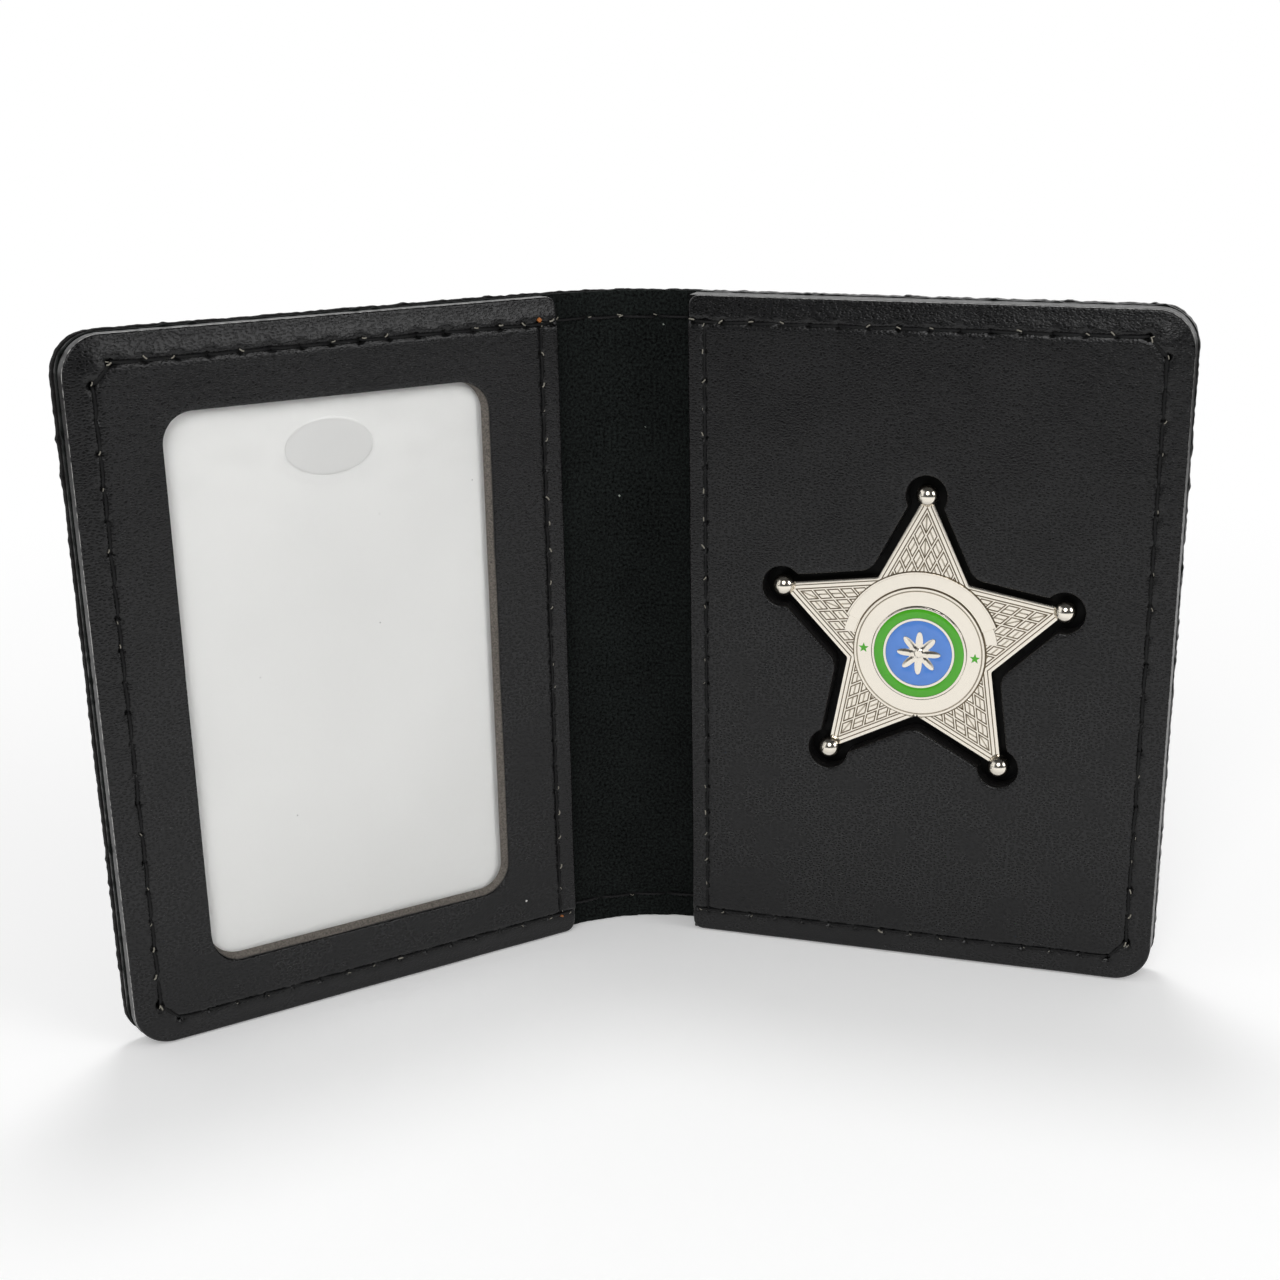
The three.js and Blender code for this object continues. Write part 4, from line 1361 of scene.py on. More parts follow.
def ring_lines():
    """The lines along which the ring and the banner change slope, measured from the star's centre."""
    sizes = badge_sizes()
    ring, outer = sizes.ring_radius, sizes.ring_radius + sizes.banner
    inner, tail = ring + BANNER_GAP, outer - TAIL_INSET
    seat = sizes.seal_radius + SEAL_GAP
    full = [ring, ring + STEP_WIDTH, inner - STEP_WIDTH, seat, seat - STEP_WIDTH]
    full += [ring + GROOVE_AT + sign * half for sign in (-1, 1) for half in GROOVE_HALVES[::sign]]
    lines = [arc(radius, -math.pi, math.pi) for radius in full]
    for radius in (inner, outer - RAIL_FOOT, outer - RAIL_TOP, outer, outer + STEP_WIDTH, outer + 0.16 * MM,
                   outer + 0.18 * MM):
        lines.append(arc(radius, -BANNER_HALF - 0.01, BANNER_HALF + 0.01))
    for side in (-1, 1):
        lines.append(arc(inner - 0.02 * MM, side * (BANNER_HALF + 0.01), side * math.pi))
        for radius in (inner + TAIL_SHIFT - STEP_WIDTH, inner + TAIL_SHIFT, tail, tail + STEP_WIDTH):
            lines.append(arc(radius, side * BANNER_HALF, side * (BANNER_TAIL + 0.01)))
        for angle in (BANNER_HALF, BANNER_HALF + END_ANGLE, BANNER_TAIL, BANNER_TAIL + END_ANGLE):
            ends = np.array((inner - STEP_WIDTH, outer + STEP_WIDTH))[:, None]
            lines.append(np.array((math.sin(side * angle), math.cos(angle))) * ends)
    return [line - (0, sizes.ring_drop) for line in lines]


def star_rim_level():
    """The rise of the star's rim: a ball's thickness and the star's start at the same back."""
    return flat_box("badge_star")[1][2] - 2 * badge_sizes().ball_radius + STAR_THICKNESS


def star_badge():
    """The star, with its balls and posts, as one cast piece."""
    sizes = badge_sizes()
    rim_level = star_rim_level()
    star_back = rim_level - STAR_THICKNESS
    loop = on_star(outline(star_corners(0, 0.5 * MM)[::-1], 0.3 * MM))

    def front(flat):
        points = from_star(flat)
        relief = np.where(covered(points), PLAIN_FLOOR, arm_relief(points)[0])
        return rim_level + np.maximum(relief, raised_height(points))

    def patina(flat):
        points = from_star(flat)
        beyond, angle = from_ring(points)
        stain = np.where(covered(points), 0, arm_relief(points)[1])
        moat = (beyond > 0.02 * MM) & (beyond < BANNER_GAP - 0.03 * MM)
        moat |= (np.abs(beyond - sizes.banner - 0.09 * MM) < 0.08 * MM) & (angle < BANNER_HALF)
        line = np.abs(beyond - GROOVE_AT) < 0.06 * MM
        on_top = raised_height(points) > PLAIN_FLOOR + 0.1 * MM
        return np.where(on_top, line * 0.7, np.maximum(stain, moat))

    core = inset(loop, 0.2 * MM)
    inner_lines = bare_parts(lattice_lines(), core)
    for line in [on_star(line) for line in ring_lines()]:
        inner_lines += [line[run] for run in stretches(within(line, [core]))]
    piece = slab("star_body", [loop], front, level(star_back), finishes("nickel", "nickel", "nickel"),
                 0.09 * MM, lines=inner_lines, sharp=22, sunk=patina)
    for centre in on_star(ball_places()):
        add_ball(piece.data, centre, star_back + sizes.ball_radius, sizes.ball_radius)
    for centre in on_star(POST_PLACES):
        add_post(piece.data, centre, flat_box("badge_star")[0][2], star_back + 0.5 * MM, 0.8 * MM)
    piece.name = "star_badge"
    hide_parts("badge_star")
    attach(piece, "badge_leaf")


def append_mesh(mesh, flat, faces):
    """Adds another closed body to a mesh, given as flat places and faces."""
    old = len(mesh.vertices)
    made = bpy.data.meshes.new("body")
    made.from_pydata(place(flat).tolist(), [], [list(face) for face in faces])
    both = bmesh.new()
    both.from_mesh(mesh)
    both.from_mesh(made)
    both.verts.ensure_lookup_table()
    layer = both.verts.layers.float_vector.get("flat")
    for k, spot in enumerate(flat):
        both.verts[old + k][layer] = spot
    both.faces.ensure_lookup_table()
    for face in both.faces[len(mesh.polygons):]:
        face.smooth = True
        face.material_index = 0
    both.to_mesh(mesh)
    both.free()
    bpy.data.meshes.remove(made)


def add_ball(mesh, centre, rise, radius, around=40, up=24):
    """A round ball with poles along the rise."""
    flat = [(*centre, rise + radius)]
    for k in range(1, up):
        polar = math.pi * k / up
        flat += [(*spot, rise + radius * math.cos(polar))
                 for spot in circle(radius * math.sin(polar), around, centre)]
    flat.append((*centre, rise - radius))
    faces = []
    for k in range(around):
        following = (k + 1) % around
        last = 1 + (up - 2) * around
        faces += [(0, 1 + k, 1 + following), (len(flat) - 1, last + following, last + k)]
        for start in range(1, last, around):
            faces.append((start + k, start + around + k, start + around + following, start + following))
    append_mesh(mesh, flat, faces)


def add_post(mesh, centre, low, high, radius, around=24):
    """A round post between two rises."""
    flat = [(*spot, rise) for rise in (low, high) for spot in circle(radius, around, centre)]
    sides = [(k, (k + 1) % around, (k + 1) % around + around, k + around) for k in range(around)]
    append_mesh(mesh, flat, [tuple(range(around))[::-1], tuple(range(around, 2 * around))] + sides)


# The seal's cells and its rosette
GREEN_OUTER = 7.05 * MM
GREEN_INNER = 5.55 * MM
BLUE_RADIUS = 5.2 * MM
CELL_GAP = 0.04 * MM
CELL_WALL = 0.03 * MM
CELL_DEPTH = 0.26 * MM
PETAL_START = 1.55 * MM
PETAL_LENGTH = 1.85 * MM
PETAL_RIDGE = 0.1 * MM
BUTTON_HEIGHT = 0.12 * MM
BUTTON_RADII = (0.55 * MM, 0.75 * MM)
PETAL_RISE = (0.5 * MM, 1.2 * MM)


def petal_reach(angles):
    """How far the rosette reaches from its middle in each direction."""
    swell = (0.5 + 0.5 * np.cos(badge_sizes().petals * angles)) ** 0.8
    return PETAL_START + PETAL_LENGTH * swell


def rosette(grow):
    """The rosette's outline, anticlockwise, from the ring's centre."""
    angles = np.linspace(0, 2 * math.pi, badge_sizes().petals * 28 + 1)[:-1]
    return np.column_stack((np.cos(angles), np.sin(angles))) * (petal_reach(angles) + grow)[:, None]


def seal():
    """Silver seal: wires round two sunk cells, and a rosette with ridged petals."""
    low, high = flat_box("badge_seal")
    petals = badge_sizes().petals

    def front(flat):
        x, y = (from_star(flat) + (0, badge_sizes().ring_drop)).T
        away, angle = np.hypot(x, y), np.arctan2(y, x)
        edge = petal_reach(angle)
        field = np.minimum(1 - ramp(BLUE_RADIUS - CELL_WALL, BLUE_RADIUS, away),
                           ramp(edge - CELL_WALL / 2, edge + CELL_WALL / 2, away))
        ring = np.minimum(1 - ramp(GREEN_OUTER - CELL_WALL, GREEN_OUTER, away),
                          ramp(GREEN_INNER, GREEN_INNER + CELL_WALL, away))
        ridge = PETAL_RIDGE * np.abs(np.sin(petals * angle / 2)) * ramp(*PETAL_RISE, away)
        button = BUTTON_HEIGHT * (1 - ramp(*BUTTON_RADII, away))
        return high[2] - CELL_DEPTH * np.maximum(field, ring) - (ridge - button) * (away < edge)

    radii = (GREEN_OUTER, GREEN_OUTER - CELL_WALL, GREEN_INNER, GREEN_INNER + CELL_WALL, BLUE_RADIUS,
             BLUE_RADIUS - CELL_WALL, *BUTTON_RADII, PETAL_RISE[1])
    lines = [arc(radius, 0, 2 * math.pi, 0.06) for radius in radii]
    lines += [np.vstack((rosette(grow), rosette(grow)[:1])) for grow in (-CELL_WALL / 2, CELL_WALL / 2)]
    for angle in np.arange(petals * 2) * math.pi / petals:
        lines.append(np.array((math.cos(angle), math.sin(angle))) * np.array(((0.8 * MM,), (1.4 * MM,))))
    piece = slab("silver_seal", [on_ring(circle(badge_sizes().seal_radius, 128))], front, level(low[2]),
                 finishes("nickel", "nickel", "nickel"), 0.07 * MM,
                 on_ring(grid((-4 * MM, -4 * MM), (4 * MM, 4 * MM), 0.2 * MM)),
                 lines=[on_ring(line) for line in lines], sharp=30)
    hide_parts("badge_seal")
    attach(piece, "badge_leaf")


def enamel():
    """Enamel melted into the seal's cells, and two small stars on the ring."""
    high = flat_box("badge_seal")[1]
    cells = (
        ("blue_field", "blue", "blue_enamel", "enamel_field", circle(BLUE_RADIUS - CELL_GAP, 128),
         rosette(CELL_GAP)),
        ("green_ring", "green", "green_enamel", "enamel_ring", circle(GREEN_OUTER - CELL_GAP, 128),
         circle(GREEN_INNER + CELL_GAP, 128)),
    )
    for name, look, slot, replaced, outer, inner in cells:
        cell = slab(name, [on_ring(outer), on_ring(inner[::-1])], level(high[2] - 0.03 * MM),
                    level(high[2] - 0.25 * MM), finishes(look, look, look), 0.03 * MM, steps=2)
        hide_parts(replaced)
        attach(cell, "badge_leaf")
    ring_level = star_rim_level() + RING_HEIGHT
    small_star = [(math.sin(FIFTH * k) * radius, math.cos(FIFTH * k) * radius, 0.0)
                  for k, radius in enumerate([0.85 * MM, 0.36 * MM] * 5)]
    for side, name in ((-1, "green_star_left"), (1, "green_star_right")):
        loop = outline(small_star[::-1], 0.3 * MM) + (side * 8.7 * MM, 0)
        star = slab(name, [on_ring(loop)], level(ring_level + 0.02 * MM), level(ring_level - 0.1 * MM),
                    finishes("green", "green", "green"), 0.02 * MM, steps=1)
        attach(star, "badge_leaf")


# Thread

# Points of a guide line from one awl hole to the next
GUIDE_STEPS = 16
STITCH_POINTS = 15
# How far a stitch's plies turn from end to end, in radians, and how far stitches lie askew
TWIST = 9.0
SKEW = 0.05


def seam_rises(line, side, behind=False):
    """The flat places of a seam on the faces that it runs over, in front or behind."""
    groove = leather_sizes().groove
    if behind:
        return np.column_stack((line, cover_front(line) - COVER_THICKNESS + groove))
    panel, drop, edge = "window_panel", WINDOW_DROP, 0.0
    if side > 0:
        panel, drop, edge = "badge_panel", BADGE_DROP, SPINE
    on_panel = side * (line[:, 0] - edge) > 0
    face = pressed(line, flat_box(panel)[1][2], drop) - groove
    return np.column_stack((line, np.where(on_panel, face, -0.8 * groove)))


def guide(name, parts):
    """A mesh of points for a geometry tree: parts hold flat places, their facing (1 in front, -1
    behind), their count of holes, 0 for loose points, and the direction in which each looks."""
    points, edges, outward, aims, counts = [], [], [], [], []
    for flat, facing, holes, aim in parts:
        there = place(flat)
        first = len(points)
        points += there.tolist()
        outward += unit(place(flat + (0, 0, facing * MM)) - there).tolist()
        aims += unit(place(flat + aim) - there).tolist()
        counts += [holes + 1] * len(flat)
        edges += [(k, k + 1) for k in range(first, len(points) - 1)] if holes else []
    mesh = bpy.data.meshes.new(name)
    mesh.from_pydata(points, edges, [])
    mesh.attributes.new("outward", "FLOAT_VECTOR", "POINT").data.foreach_set("vector", np.ravel(outward))
    mesh.attributes.new("aim", "FLOAT_VECTOR", "POINT").data.foreach_set("vector", np.ravel(aims))
    mesh.attributes.new("holes", "INT", "POINT").data.foreach_set("value", counts)
    return linked(name, mesh)


def new_tree(name, **inputs):
    """An empty geometry tree with a mesh input and further named inputs, and those inputs' sockets."""
    tree = bpy.data.node_groups.new(name, "GeometryNodeTree")
    tree.interface.new_socket("Geometry", in_out="OUTPUT", socket_type="NodeSocketGeometry")
    tree.interface.new_socket("Guide", in_out="INPUT", socket_type="NodeSocketGeometry")
    for label, kind in inputs.items():
        tree.interface.new_socket(label.replace("_", " "), in_out="INPUT", socket_type="NodeSocket" + kind)
    return tree, node(tree, "NodeGroupInput").outputs


def laid_out(tree, given, aim, **instances):
    """Ends a tree: instances on points, each turned to its aim, are made real and get their finish."""
    outward = node(tree, "GeometryNodeInputNamedAttribute", {"Name": "outward"}, data_type="FLOAT_VECTOR")
    turn = node(tree, "FunctionNodeAxesToRotation", {"Primary Axis": aim, "Secondary Axis": outward},
                primary_axis="X", secondary_axis="Z")
    laid = node(tree, "GeometryNodeInstanceOnPoints", {"Rotation": turn, **instances})
    real = node(tree, "GeometryNodeRealizeInstances", {"Geometry": laid})
    dyed = node(tree, "GeometryNodeSetMaterial", {"Geometry": real, "Material": given["Finish"]})
    node(tree, "NodeGroupOutput", {"Geometry": dyed})
    return tree


def stitch_tree():
    """Geometry nodes that lay one stitch of twisted thread between each two awl holes of a seam."""
    tree, given = new_tree("stitches_along_seam", Pitch="Float", Thread_radius="Float", Sink="Float",
                           Seed="Int", Finish="Material")
    curve = node(tree, "GeometryNodeMeshToCurve", {"Mesh": given["Guide"]})
    holes = node(tree, "GeometryNodeInputNamedAttribute", {"Name": "holes"}, data_type="INT")
    spaced = node(tree, "GeometryNodeResampleCurve", {"Curve": curve, "Count": holes}, mode="COUNT")
    wire = node(tree, "GeometryNodeCurveToMesh", {"Curve": spaced})
    ends = node(tree, "GeometryNodeInputMeshEdgeVertices").outputs
    chord = node(tree, "ShaderNodeVectorMath", {0: ends["Position 2"], 1: ends["Position 1"]},
                 operation="SUBTRACT")
    stored = node(tree, "GeometryNodeStoreNamedAttribute",
                  {"Geometry": wire, "Name": "chord", "Value": chord},
                  data_type="FLOAT_VECTOR", domain="EDGE")
    points = node(tree, "GeometryNodeMeshToPoints", {"Mesh": stored}, mode="EDGES")
    along = node(tree, "GeometryNodeInputNamedAttribute", {"Name": "chord"}, data_type="FLOAT_VECTOR")
    skew = node(tree, "FunctionNodeRandomValue", {0: (-SKEW,) * 3, 1: (SKEW,) * 3, "Seed": given["Seed"]},
                data_type="FLOAT_VECTOR")
    aim = node(tree, "ShaderNodeVectorMath", {0: along}, operation="NORMALIZE")
    askew = node(tree, "ShaderNodeVectorMath", {0: aim, 1: skew}, operation="ADD")
    span = node(tree, "ShaderNodeVectorMath", {0: along}, operation="LENGTH")
    share = node(tree, "ShaderNodeMath", {0: span, 1: given["Pitch"]}, operation="DIVIDE")
    thick = node(tree, "FunctionNodeRandomValue", {2: 0.9, 3: 1.1, "Seed": given["Seed"]}, data_type="FLOAT")
    size = node(tree, "ShaderNodeCombineXYZ", {"X": share, "Y": thick, "Z": thick})
    factors = (("Pitch", 0.475), ("Thread radius", 0.9), ("Sink", -1.0), ("Thread radius", 0.78))
    half, lift, down, core = (
        node(tree, "ShaderNodeMath", {0: given[name], 1: factor}, operation="MULTIPLY")
        for name, factor in factors)
    corners = []
    for part, height in ((-1.0, down), (-0.8, lift), (0.8, lift), (1.0, down)):
        across = node(tree, "ShaderNodeMath", {0: half, 1: part}, operation="MULTIPLY")
        corners.append(node(tree, "ShaderNodeCombineXYZ", {"X": across, "Z": height}))
    path = node(tree, "GeometryNodeCurvePrimitiveBezierSegment", {
        "Resolution": STITCH_POINTS - 1, "Start": corners[0], "Start Handle": corners[1],
        "End Handle": corners[2], "End": corners[3]})
    evenly = node(tree, "GeometryNodeResampleCurve", {"Curve": path, "Count": STITCH_POINTS}, mode="COUNT")
    factor = node(tree, "GeometryNodeSplineParameter").outputs["Factor"]
    twist = node(tree, "ShaderNodeMath", {0: factor, 1: TWIST}, operation="MULTIPLY")
    twisted = node(tree, "GeometryNodeSetCurveTilt", {"Curve": evenly, "Tilt": twist})
    plies = node(tree, "GeometryNodeCurveStar",
                 {"Points": 4, "Inner Radius": core, "Outer Radius": given["Thread radius"]})
    stitch = node(tree, "GeometryNodeCurveToMesh",
                  {"Curve": twisted, "Profile Curve": plies, "Fill Caps": True})
    return laid_out(tree, given, askew, Points=points, Instance=stitch, Scale=size)


def fibre_glint_tree():
    """Geometry nodes that set a torn-up sliver of leather beside some of a seam's awl holes. Its pale colour
    is partly a painted highlight for the holes' glints.
    """
    tree, given = new_tree("fibres_at_holes", Length="Float", Thickness="Float", Share="Float", Seed="Int",
                           Finish="Material")
    points = node(tree, "GeometryNodeMeshToPoints", {"Mesh": given["Guide"]}, mode="VERTICES")
    some = node(tree, "FunctionNodeRandomValue", {"Probability": given["Share"], "Seed": given["Seed"]},
                data_type="BOOLEAN")
    aim = node(tree, "GeometryNodeInputNamedAttribute", {"Name": "aim"}, data_type="FLOAT_VECTOR")
    size = node(tree, "FunctionNodeRandomValue", {2: 0.35, 3: 1.15, "Seed": given["Seed"]},
                data_type="FLOAT")
    start, middle, end = (
        node(tree, "ShaderNodeVectorMath", {0: spot, "Scale": given["Length"]}, operation="SCALE")
        for spot in ((-0.5, 0.0, -0.12), (0.05, 0.12, 0.22), (0.5, -0.05, -0.12)))
    bow = node(tree, "GeometryNodeCurveQuadraticBezier",
               {"Resolution": 6, "Start": start, "Middle": middle, "End": end})
    round_cut = node(tree, "GeometryNodeCurvePrimitiveCircle",
                     {"Resolution": 5, "Radius": given["Thickness"]})
    sliver = node(tree, "GeometryNodeCurveToMesh",
                  {"Curve": bow, "Profile Curve": round_cut, "Fill Caps": True})
    return laid_out(tree, given, aim, Points=points, Selection=some, Instance=sliver, Scale=size)


def made_by(tree, source, name, **values):
    """Runs a geometry tree on an object and gives back its result as a plain object."""
    modifier = source.modifiers.new("nodes", "NODES")
    modifier.node_group = tree
    for item in tree.interface.items_tree:
        if item.name.replace(" ", "_") in values:
            modifier[item.identifier] = values[item.name.replace(" ", "_")]
    graph = bpy.context.evaluated_depsgraph_get()
    mesh = bpy.data.meshes.new_from_object(source.evaluated_get(graph))
    source.modifiers.remove(modifier)
    bpy.data.objects.remove(source)
    mesh.name = name
    mesh.polygons.foreach_set("use_smooth", np.ones(len(mesh.polygons), bool))
    return linked(name, mesh)


def thread():
    """Both leaves' seams, in front and behind, each leaf's with its half of the spine."""
    sizes = leather_sizes()
    tree = stitch_tree()
    ahead = (0.1 * MM, 0, 0)
    for side, name in ((-1, "thread_window"), (1, "thread_badge")):
        parts = []
        for runs, behind in ((all_runs(side, True), False), (seam_runs(side), True)):
            for run in runs:
                line = spread(run, GUIDE_STEPS * stitches_in(run))
                parts.append((seam_rises(line, side, behind), -1 if behind else 1, stitches_in(run), ahead))
        piece = made_by(tree, guide("seams", parts), name, Pitch=sizes.pitch, Thread_radius=sizes.thread / 2,
                        Sink=0.5 * MM, Seed=7, Finish=finish("thread"))
        bend_with(piece, side)


def fibres():
    """Pale slivers on the side of a hole that faces the leaf's edge: leather torn up by the awl, and in part
    a painted highlight of the glints at the holes.
    """
    tree = fibre_glint_tree()
    random = np.random.default_rng(5)
    for side, name in ((-1, "fibres_window"), (1, "fibres_badge")):
        middle = np.array((side * LEAF_WIDTH / 2 + SPINE * (side > 0), LEAF_HEIGHT / 2))
        parts = []
        for run in all_runs(side, True):
            along = unit(run[1] - run[0])
            outward = np.array((along[1], -along[0])) * np.sign(np.cross(along, middle - run[0]))
            for hole in spread(run, stitches_in(run)):
                spot = hole + outward * random.uniform(0.05, 0.4) * MM
                spot = spot + along * random.uniform(-0.6, 0.6) * MM
                slant = random.uniform(-0.8, 0.8)
                aim = 0.1 * MM * (along * math.cos(slant) + outward * math.sin(slant))
                parts.append((seam_rises(spot[None], side) + (0, 0, 0.12 * MM), 1, 0, (*aim, 0)))
        piece = made_by(tree, guide("holes", parts), name, Length=0.7 * MM, Thickness=0.11 * MM, Share=0.55,
                        Seed=11, Finish=finish("fibre"))
        bend_with(piece, side)


# For each side, the melted ends' offsets from the ends of its row, their radius, their lift and the
# leaf that carries them
KNOTS = {
    -1: (((-0.1 * MM, 0.6 * MM), (0.3 * MM, -0.3 * MM)), 0.34 * MM, 0.05 * MM, "window_leaf"),
    1: (((-0.7 * MM, 1.7 * MM),), 0.18 * MM, -0.1 * MM, "badge_leaf"),
}


def knots():
    """Melted ends of the thread, at both ends of the window leaf's row and one on the badge leaf."""
    number = 0
    for side, (offsets, radius, lift, leaf) in KNOTS.items():
        for end, offset in zip(row_run(side), offsets):
            number += 1
            *spot, rise = seam_rises(np.array([end + offset]), side)[0]
            mesh = bpy.data.meshes.new("knot")
            mesh.materials.append(finish("knot"))
            mesh.attributes.new("flat", "FLOAT_VECTOR", "POINT")
            add_ball(mesh, spot, rise + lift, radius, 16, 10)
            centre = Vector(place([(*spot, rise + lift)])[0])
            for vertex in mesh.vertices:
                lumpy = 1 + 0.25 * math.sin(9000 * vertex.co.x + number) * math.cos(8000 * vertex.co.z)
                vertex.co = centre + (vertex.co - centre) * lumpy
            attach(linked(f"melted_knot_{number}", mesh), leaf)


# Stage

PHOTO_SIZE = 1280
FOCAL_PIXELS = 2017.3
MIDDLE_PIXEL = (713.2, 785.2)
CAMERA_AT = Vector((-156.4, -270.6, 138.8)) * MM
CAMERA_YAW = math.radians(34.76)
CAMERA_PITCH = math.radians(20.15)
CAMERA_ROLL = math.radians(-0.30)
FLOOR_RADIUS = 4.0

# Soft boxes: a broad one from the front left, one overhead behind the case and a weak fill, each with
# its place, its diameter and its watts
LAMPS = (
    ("softbox_front", (-0.75, -0.85, 0.75), 0.7, 5.5),
    ("softbox_top", (0.2, 0.3, 1.0), 0.3, 2.5),
    ("softbox_right", (0.45, -1.0, 0.5), 0.6, 2.6),
)
LAMPS_LOOK_AT = Vector((0.0, -0.02, 0.05))


def camera():
    """The camera stands a little above the case and in front of its window leaf's outer end."""
    data = bpy.data.cameras.new("camera")
    data.sensor_width = 36
    data.lens = FOCAL_PIXELS / PHOTO_SIZE * data.sensor_width
    data.shift_x = (PHOTO_SIZE / 2 - MIDDLE_PIXEL[0]) / PHOTO_SIZE
    data.shift_y = (MIDDLE_PIXEL[1] - PHOTO_SIZE / 2) / PHOTO_SIZE
    data.clip_start = 0.01
    data.clip_end = 50
    level_look = math.cos(CAMERA_PITCH)
    look = Vector((math.sin(CAMERA_YAW) * level_look, math.cos(CAMERA_YAW) * level_look,
                   -math.sin(CAMERA_PITCH)))
    right = Vector((math.cos(CAMERA_YAW), -math.sin(CAMERA_YAW), 0))
    turn = Matrix((right, right.cross(look), -look)).transposed().to_4x4()
    made = linked("camera", data)
    made.matrix_world = Matrix.Translation(CAMERA_AT) @ turn @ Matrix.Rotation(CAMERA_ROLL, 4, "Z")
    bpy.context.scene.camera = made


def seen_rays(tree):
    """1 for the rays of the camera and for those that metal and glass send out, otherwise 0. Light
    that a matt surface gathers through the clear sheet isn't one of them."""
    ray = node(tree, "ShaderNodeLightPath").outputs
    mirrored = node(tree, "ShaderNodeMath", {0: ray["Is Glossy Ray"], 1: ray["Is Transmission Ray"]},
                    operation="MAXIMUM")
    seen = node(tree, "ShaderNodeMath", {0: mirrored, 1: ray["Is Camera Ray"]}, operation="MAXIMUM")
    return node(tree, "ShaderNodeMath", {0: seen, 1: ray["Diffuse Depth"]}, operation="SUBTRACT",
                use_clamp=True)


def not_to_camera(tree, dark):
    """A brightness that is 1 for the camera and dims reflections where dark is 1."""
    ray = node(tree, "ShaderNodeLightPath").outputs
    shown = node(tree, "ShaderNodeMath", {0: dark, 1: -0.95, 2: 1.0}, operation="MULTIPLY_ADD")
    return node(tree, "ShaderNodeMath", {0: shown, 1: ray["Is Camera Ray"]}, operation="MAXIMUM")


def white_paper(tree):
    """Matt white paper that keeps the case's shadow and turns to pure white away from it. The
    paper ends at some distance, as reflections show."""
    place_on = node(tree, "ShaderNodeTexCoord").outputs["Object"]
    away = node(tree, "ShaderNodeVectorMath", {0: place_on, 1: (0.0, -0.035, 0.0)}, operation="DISTANCE")
    far, ended = (
        node(tree, "ShaderNodeMapRange", {"Value": away, "From Min": near, "From Max": end},
             interpolation_type="SMOOTHSTEP")
        for near, end in ((0.1, 0.4), (0.34, 0.6)))
    share = node(tree, "ShaderNodeMath", {0: far, 1: seen_rays(tree)}, operation="MULTIPLY")
    matt = node(tree, "ShaderNodeBsdfDiffuse", {"Color": (0.93, 0.93, 0.93, 1)})
    lift = node(tree, "ShaderNodeMath", {0: seen_rays(tree), 1: 0.2}, operation="MULTIPLY")
    glow = node(tree, "ShaderNodeEmission", {"Strength": lift})
    paper = node(tree, "ShaderNodeAddShader", {0: matt, 1: glow})
    white = node(tree, "ShaderNodeEmission", {"Strength": not_to_camera(tree, ended)})
    return node(tree, "ShaderNodeMixShader", {0: share, 1: paper, 2: white})


def backdrop():
    """A round sheet of paper under the case that is lost in the white of the room."""
    mesh = bpy.data.meshes.new("floor")
    around = circle(FLOOR_RADIUS, 96)
    mesh.from_pydata([(x, y, 0.0) for x, y in around], [], [tuple(range(len(around)))])
    mesh.materials.append(material("white_paper", white_paper))
    linked("floor", mesh)


def room():
    """White to the camera. Reflections show it too, but for a dark ceiling and the dark half of the
    room behind the camera."""
    world = bpy.data.worlds.new("room")
    bpy.context.scene.world = world
    world.use_nodes = True
    tree = world.node_tree
    tree.nodes.clear()
    towards = node(tree, "ShaderNodeSeparateXYZ",
                   {"Vector": node(tree, "ShaderNodeTexCoord").outputs["Generated"]}).outputs
    ceiling, behind = (
        node(tree, "ShaderNodeMapRange", {"Value": towards[axis], "From Min": light, "From Max": dark},
             interpolation_type="SMOOTHSTEP")
        for axis, light, dark in (("Z", 0.55, 0.75), ("Y", 0.1, -0.2)))
    dark = node(tree, "ShaderNodeMath", {0: ceiling, 1: behind}, operation="MAXIMUM")
    shown = node(tree, "ShaderNodeBackground",
                 {"Color": (1, 1, 1, 1), "Strength": not_to_camera(tree, dark)})
    dull = node(tree, "ShaderNodeBackground", {"Color": (1, 1, 1, 1), "Strength": 0.4})
    depth = node(tree, "ShaderNodeLightPath").outputs["Diffuse Depth"]
    mix = node(tree, "ShaderNodeMixShader", {0: depth, 1: shown, 2: dull})
    node(tree, "ShaderNodeOutputWorld", {"Surface": mix})


def lights():
    """The lamps, each turned to the middle of the case."""
    for name, at, size, watts in LAMPS:
        data = bpy.data.lights.new(name, "AREA")
        data.shape = "DISK"
        data.size = size
        data.energy = watts
        made = linked(name, data)
        made.location = at
        made.rotation_euler = (LAMPS_LOOK_AT - made.location).to_track_quat("-Z", "Y").to_euler()


def stage():
    """Camera, floor, room and lamps, with colours shown as they are written."""
    camera()
    backdrop()
    room()
    lights()
    bpy.context.scene.view_settings.view_transform = "Standard"


# The add-on


class HOLDER_OT_stage(bpy.types.Operator):
    """Adds the camera, the floor, the room and the lamps."""

    bl_idname = "holder.stage"
    bl_label = "Stage"

    def execute(self, context):
        stage()
        return {"FINISHED"}


class HOLDER_OT_cover(bpy.types.Operator):
    """Makes the cover leather that goes round the case."""

    bl_idname = "holder.cover"
    bl_label = "Cover"

    def execute(self, context):
        cover()
        return {"FINISHED"}


class HOLDER_OT_lining(bpy.types.Operator):
    """Makes the suede lining."""

    bl_idname = "holder.lining"
    bl_label = "Lining"

    def execute(self, context):
        lining()
        return {"FINISHED"}


class HOLDER_OT_stiffener(bpy.types.Operator):
    """Makes the board in the window leaf."""

    bl_idname = "holder.stiffener"
    bl_label = "Stiffener"

    def execute(self, context):
        stiffener()
        return {"FINISHED"}


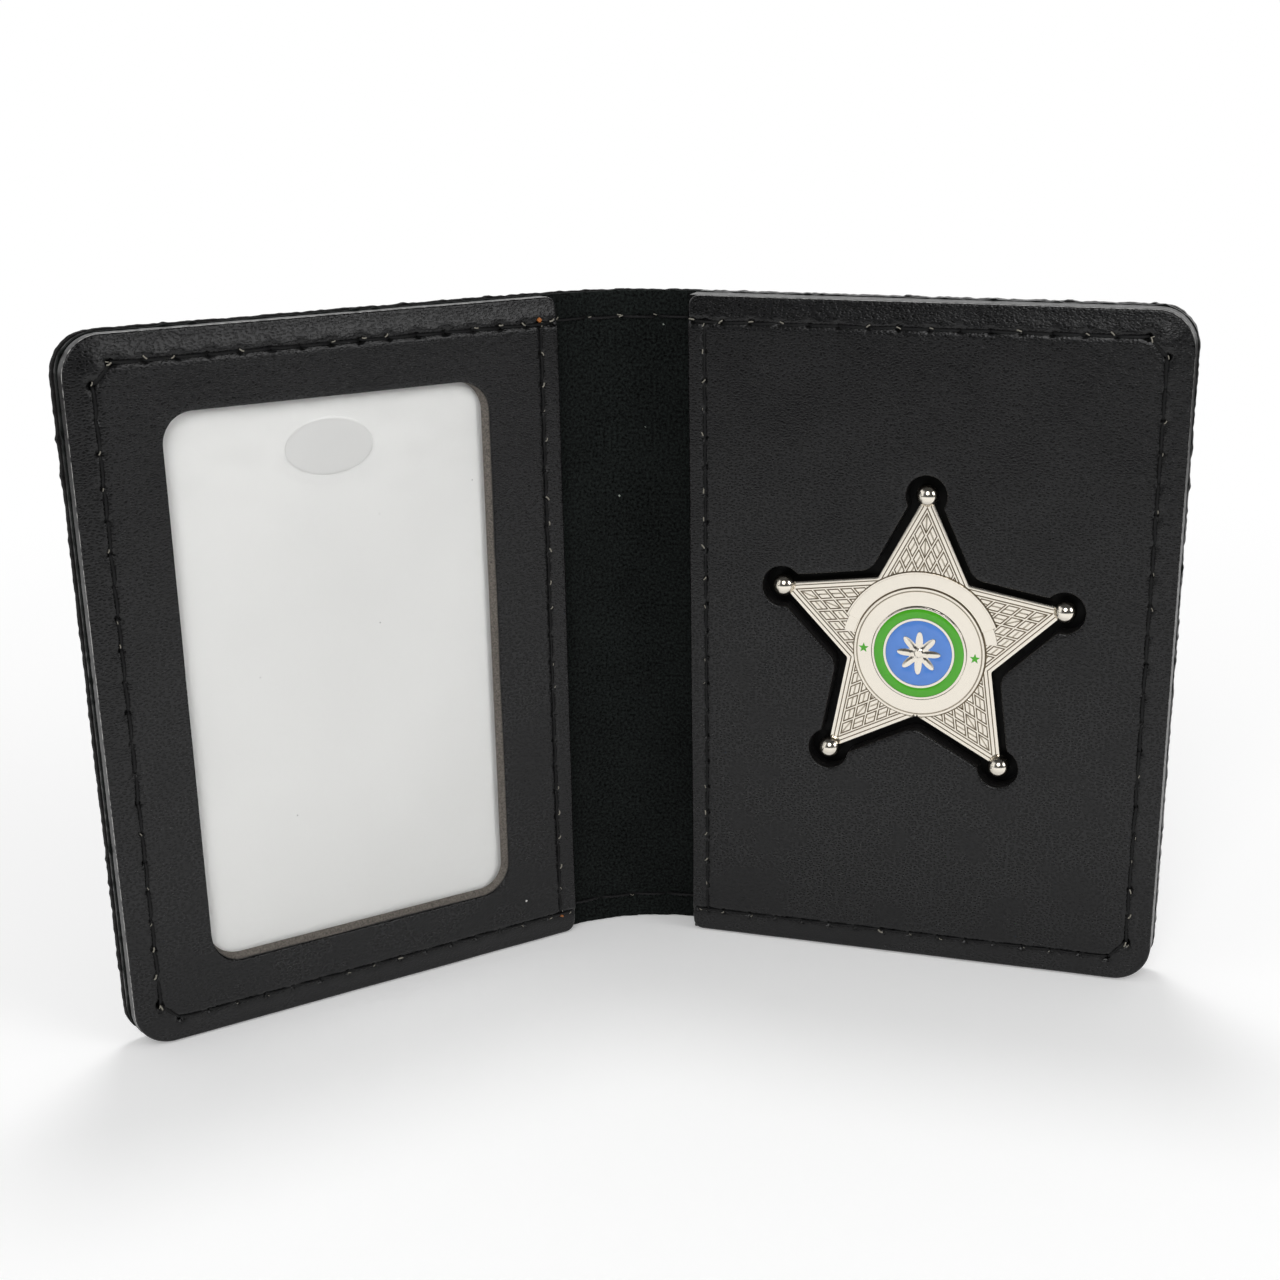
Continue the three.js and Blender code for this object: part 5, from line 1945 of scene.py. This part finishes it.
class HOLDER_OT_window_panel(bpy.types.Operator):
    """Makes the window leaf's inner panel."""

    bl_idname = "holder.window_panel"
    bl_label = "Window panel"

    def execute(self, context):
        window_panel()
        return {"FINISHED"}


class HOLDER_OT_clear_sheet(bpy.types.Operator):
    """Makes the clear sheet over the card."""

    bl_idname = "holder.clear_sheet"
    bl_label = "Clear sheet"

    def execute(self, context):
        clear_sheet()
        return {"FINISHED"}


class HOLDER_OT_identity_card(bpy.types.Operator):
    """Makes the white card."""

    bl_idname = "holder.identity_card"
    bl_label = "Card"

    def execute(self, context):
        identity_card()
        return {"FINISHED"}


class HOLDER_OT_badge_panel(bpy.types.Operator):
    """Makes the badge leaf's inner panel."""

    bl_idname = "holder.badge_panel"
    bl_label = "Badge panel"

    def execute(self, context):
        badge_panel()
        return {"FINISHED"}


class HOLDER_OT_badge_boards(bpy.types.Operator):
    """Makes the recess's spacer and floor."""

    bl_idname = "holder.badge_boards"
    bl_label = "Badge boards"

    def execute(self, context):
        badge_boards()
        return {"FINISHED"}


class HOLDER_OT_star_badge(bpy.types.Operator):
    """Makes the cast star with its balls and posts."""

    bl_idname = "holder.star_badge"
    bl_label = "Star badge"

    def execute(self, context):
        star_badge()
        return {"FINISHED"}


class HOLDER_OT_seal(bpy.types.Operator):
    """Makes the silver seal and fills its cells with enamel."""

    bl_idname = "holder.seal"
    bl_label = "Seal"

    def execute(self, context):
        seal()
        enamel()
        return {"FINISHED"}


class HOLDER_OT_thread(bpy.types.Operator):
    """Sews the seams, sets pale torn slivers at the awl holes, which partly stand in as painted highlight,
    and melts the thread's ends.
    """

    bl_idname = "holder.thread"
    bl_label = "Thread"

    def execute(self, context):
        thread()
        fibres()
        knots()
        return {"FINISHED"}


OPERATORS = (
    HOLDER_OT_stage, HOLDER_OT_cover, HOLDER_OT_lining, HOLDER_OT_stiffener, HOLDER_OT_window_panel,
    HOLDER_OT_clear_sheet, HOLDER_OT_identity_card, HOLDER_OT_badge_panel, HOLDER_OT_badge_boards,
    HOLDER_OT_star_badge, HOLDER_OT_seal, HOLDER_OT_thread,
)
GROUPS = {"holder_leather": HOLDER_PG_leather, "holder_badge": HOLDER_PG_badge,
          "holder_colours": HOLDER_PG_colours}


class HOLDER_PT_case(bpy.types.Panel):
    """Lists the steps that dress the case, and their sizes and colours."""

    bl_idname = "HOLDER_PT_case"
    bl_label = "Leather case"
    bl_space_type = "VIEW_3D"
    bl_region_type = "UI"
    bl_category = "Case"

    def draw(self, context):
        for made in OPERATORS:
            self.layout.operator(made.bl_idname)
        for group in (getattr(context.scene, name) for name in GROUPS):
            box = self.layout.box()
            for name in group.__annotations__:
                box.prop(group, name)


def register():
    for name, group in GROUPS.items():
        bpy.utils.register_class(group)
        setattr(bpy.types.Scene, name, bpy.props.PointerProperty(type=group))
    for made in (*OPERATORS, HOLDER_PT_case):
        bpy.utils.register_class(made)


def unregister():
    for made in (HOLDER_PT_case, *reversed(OPERATORS)):
        bpy.utils.unregister_class(made)
    for name, group in GROUPS.items():
        delattr(bpy.types.Scene, name)
        bpy.utils.unregister_class(group)


def main():
    register()
    bpy.ops.holder.stage()
    bpy.ops.holder.cover()
    bpy.ops.holder.lining()
    bpy.ops.holder.stiffener()
    bpy.ops.holder.window_panel()
    bpy.ops.holder.clear_sheet()
    bpy.ops.holder.identity_card()
    bpy.ops.holder.badge_panel()
    bpy.ops.holder.badge_boards()
    bpy.ops.holder.star_badge()
    bpy.ops.holder.seal()
    bpy.ops.holder.thread()


if __name__ == "__main__":
    main()
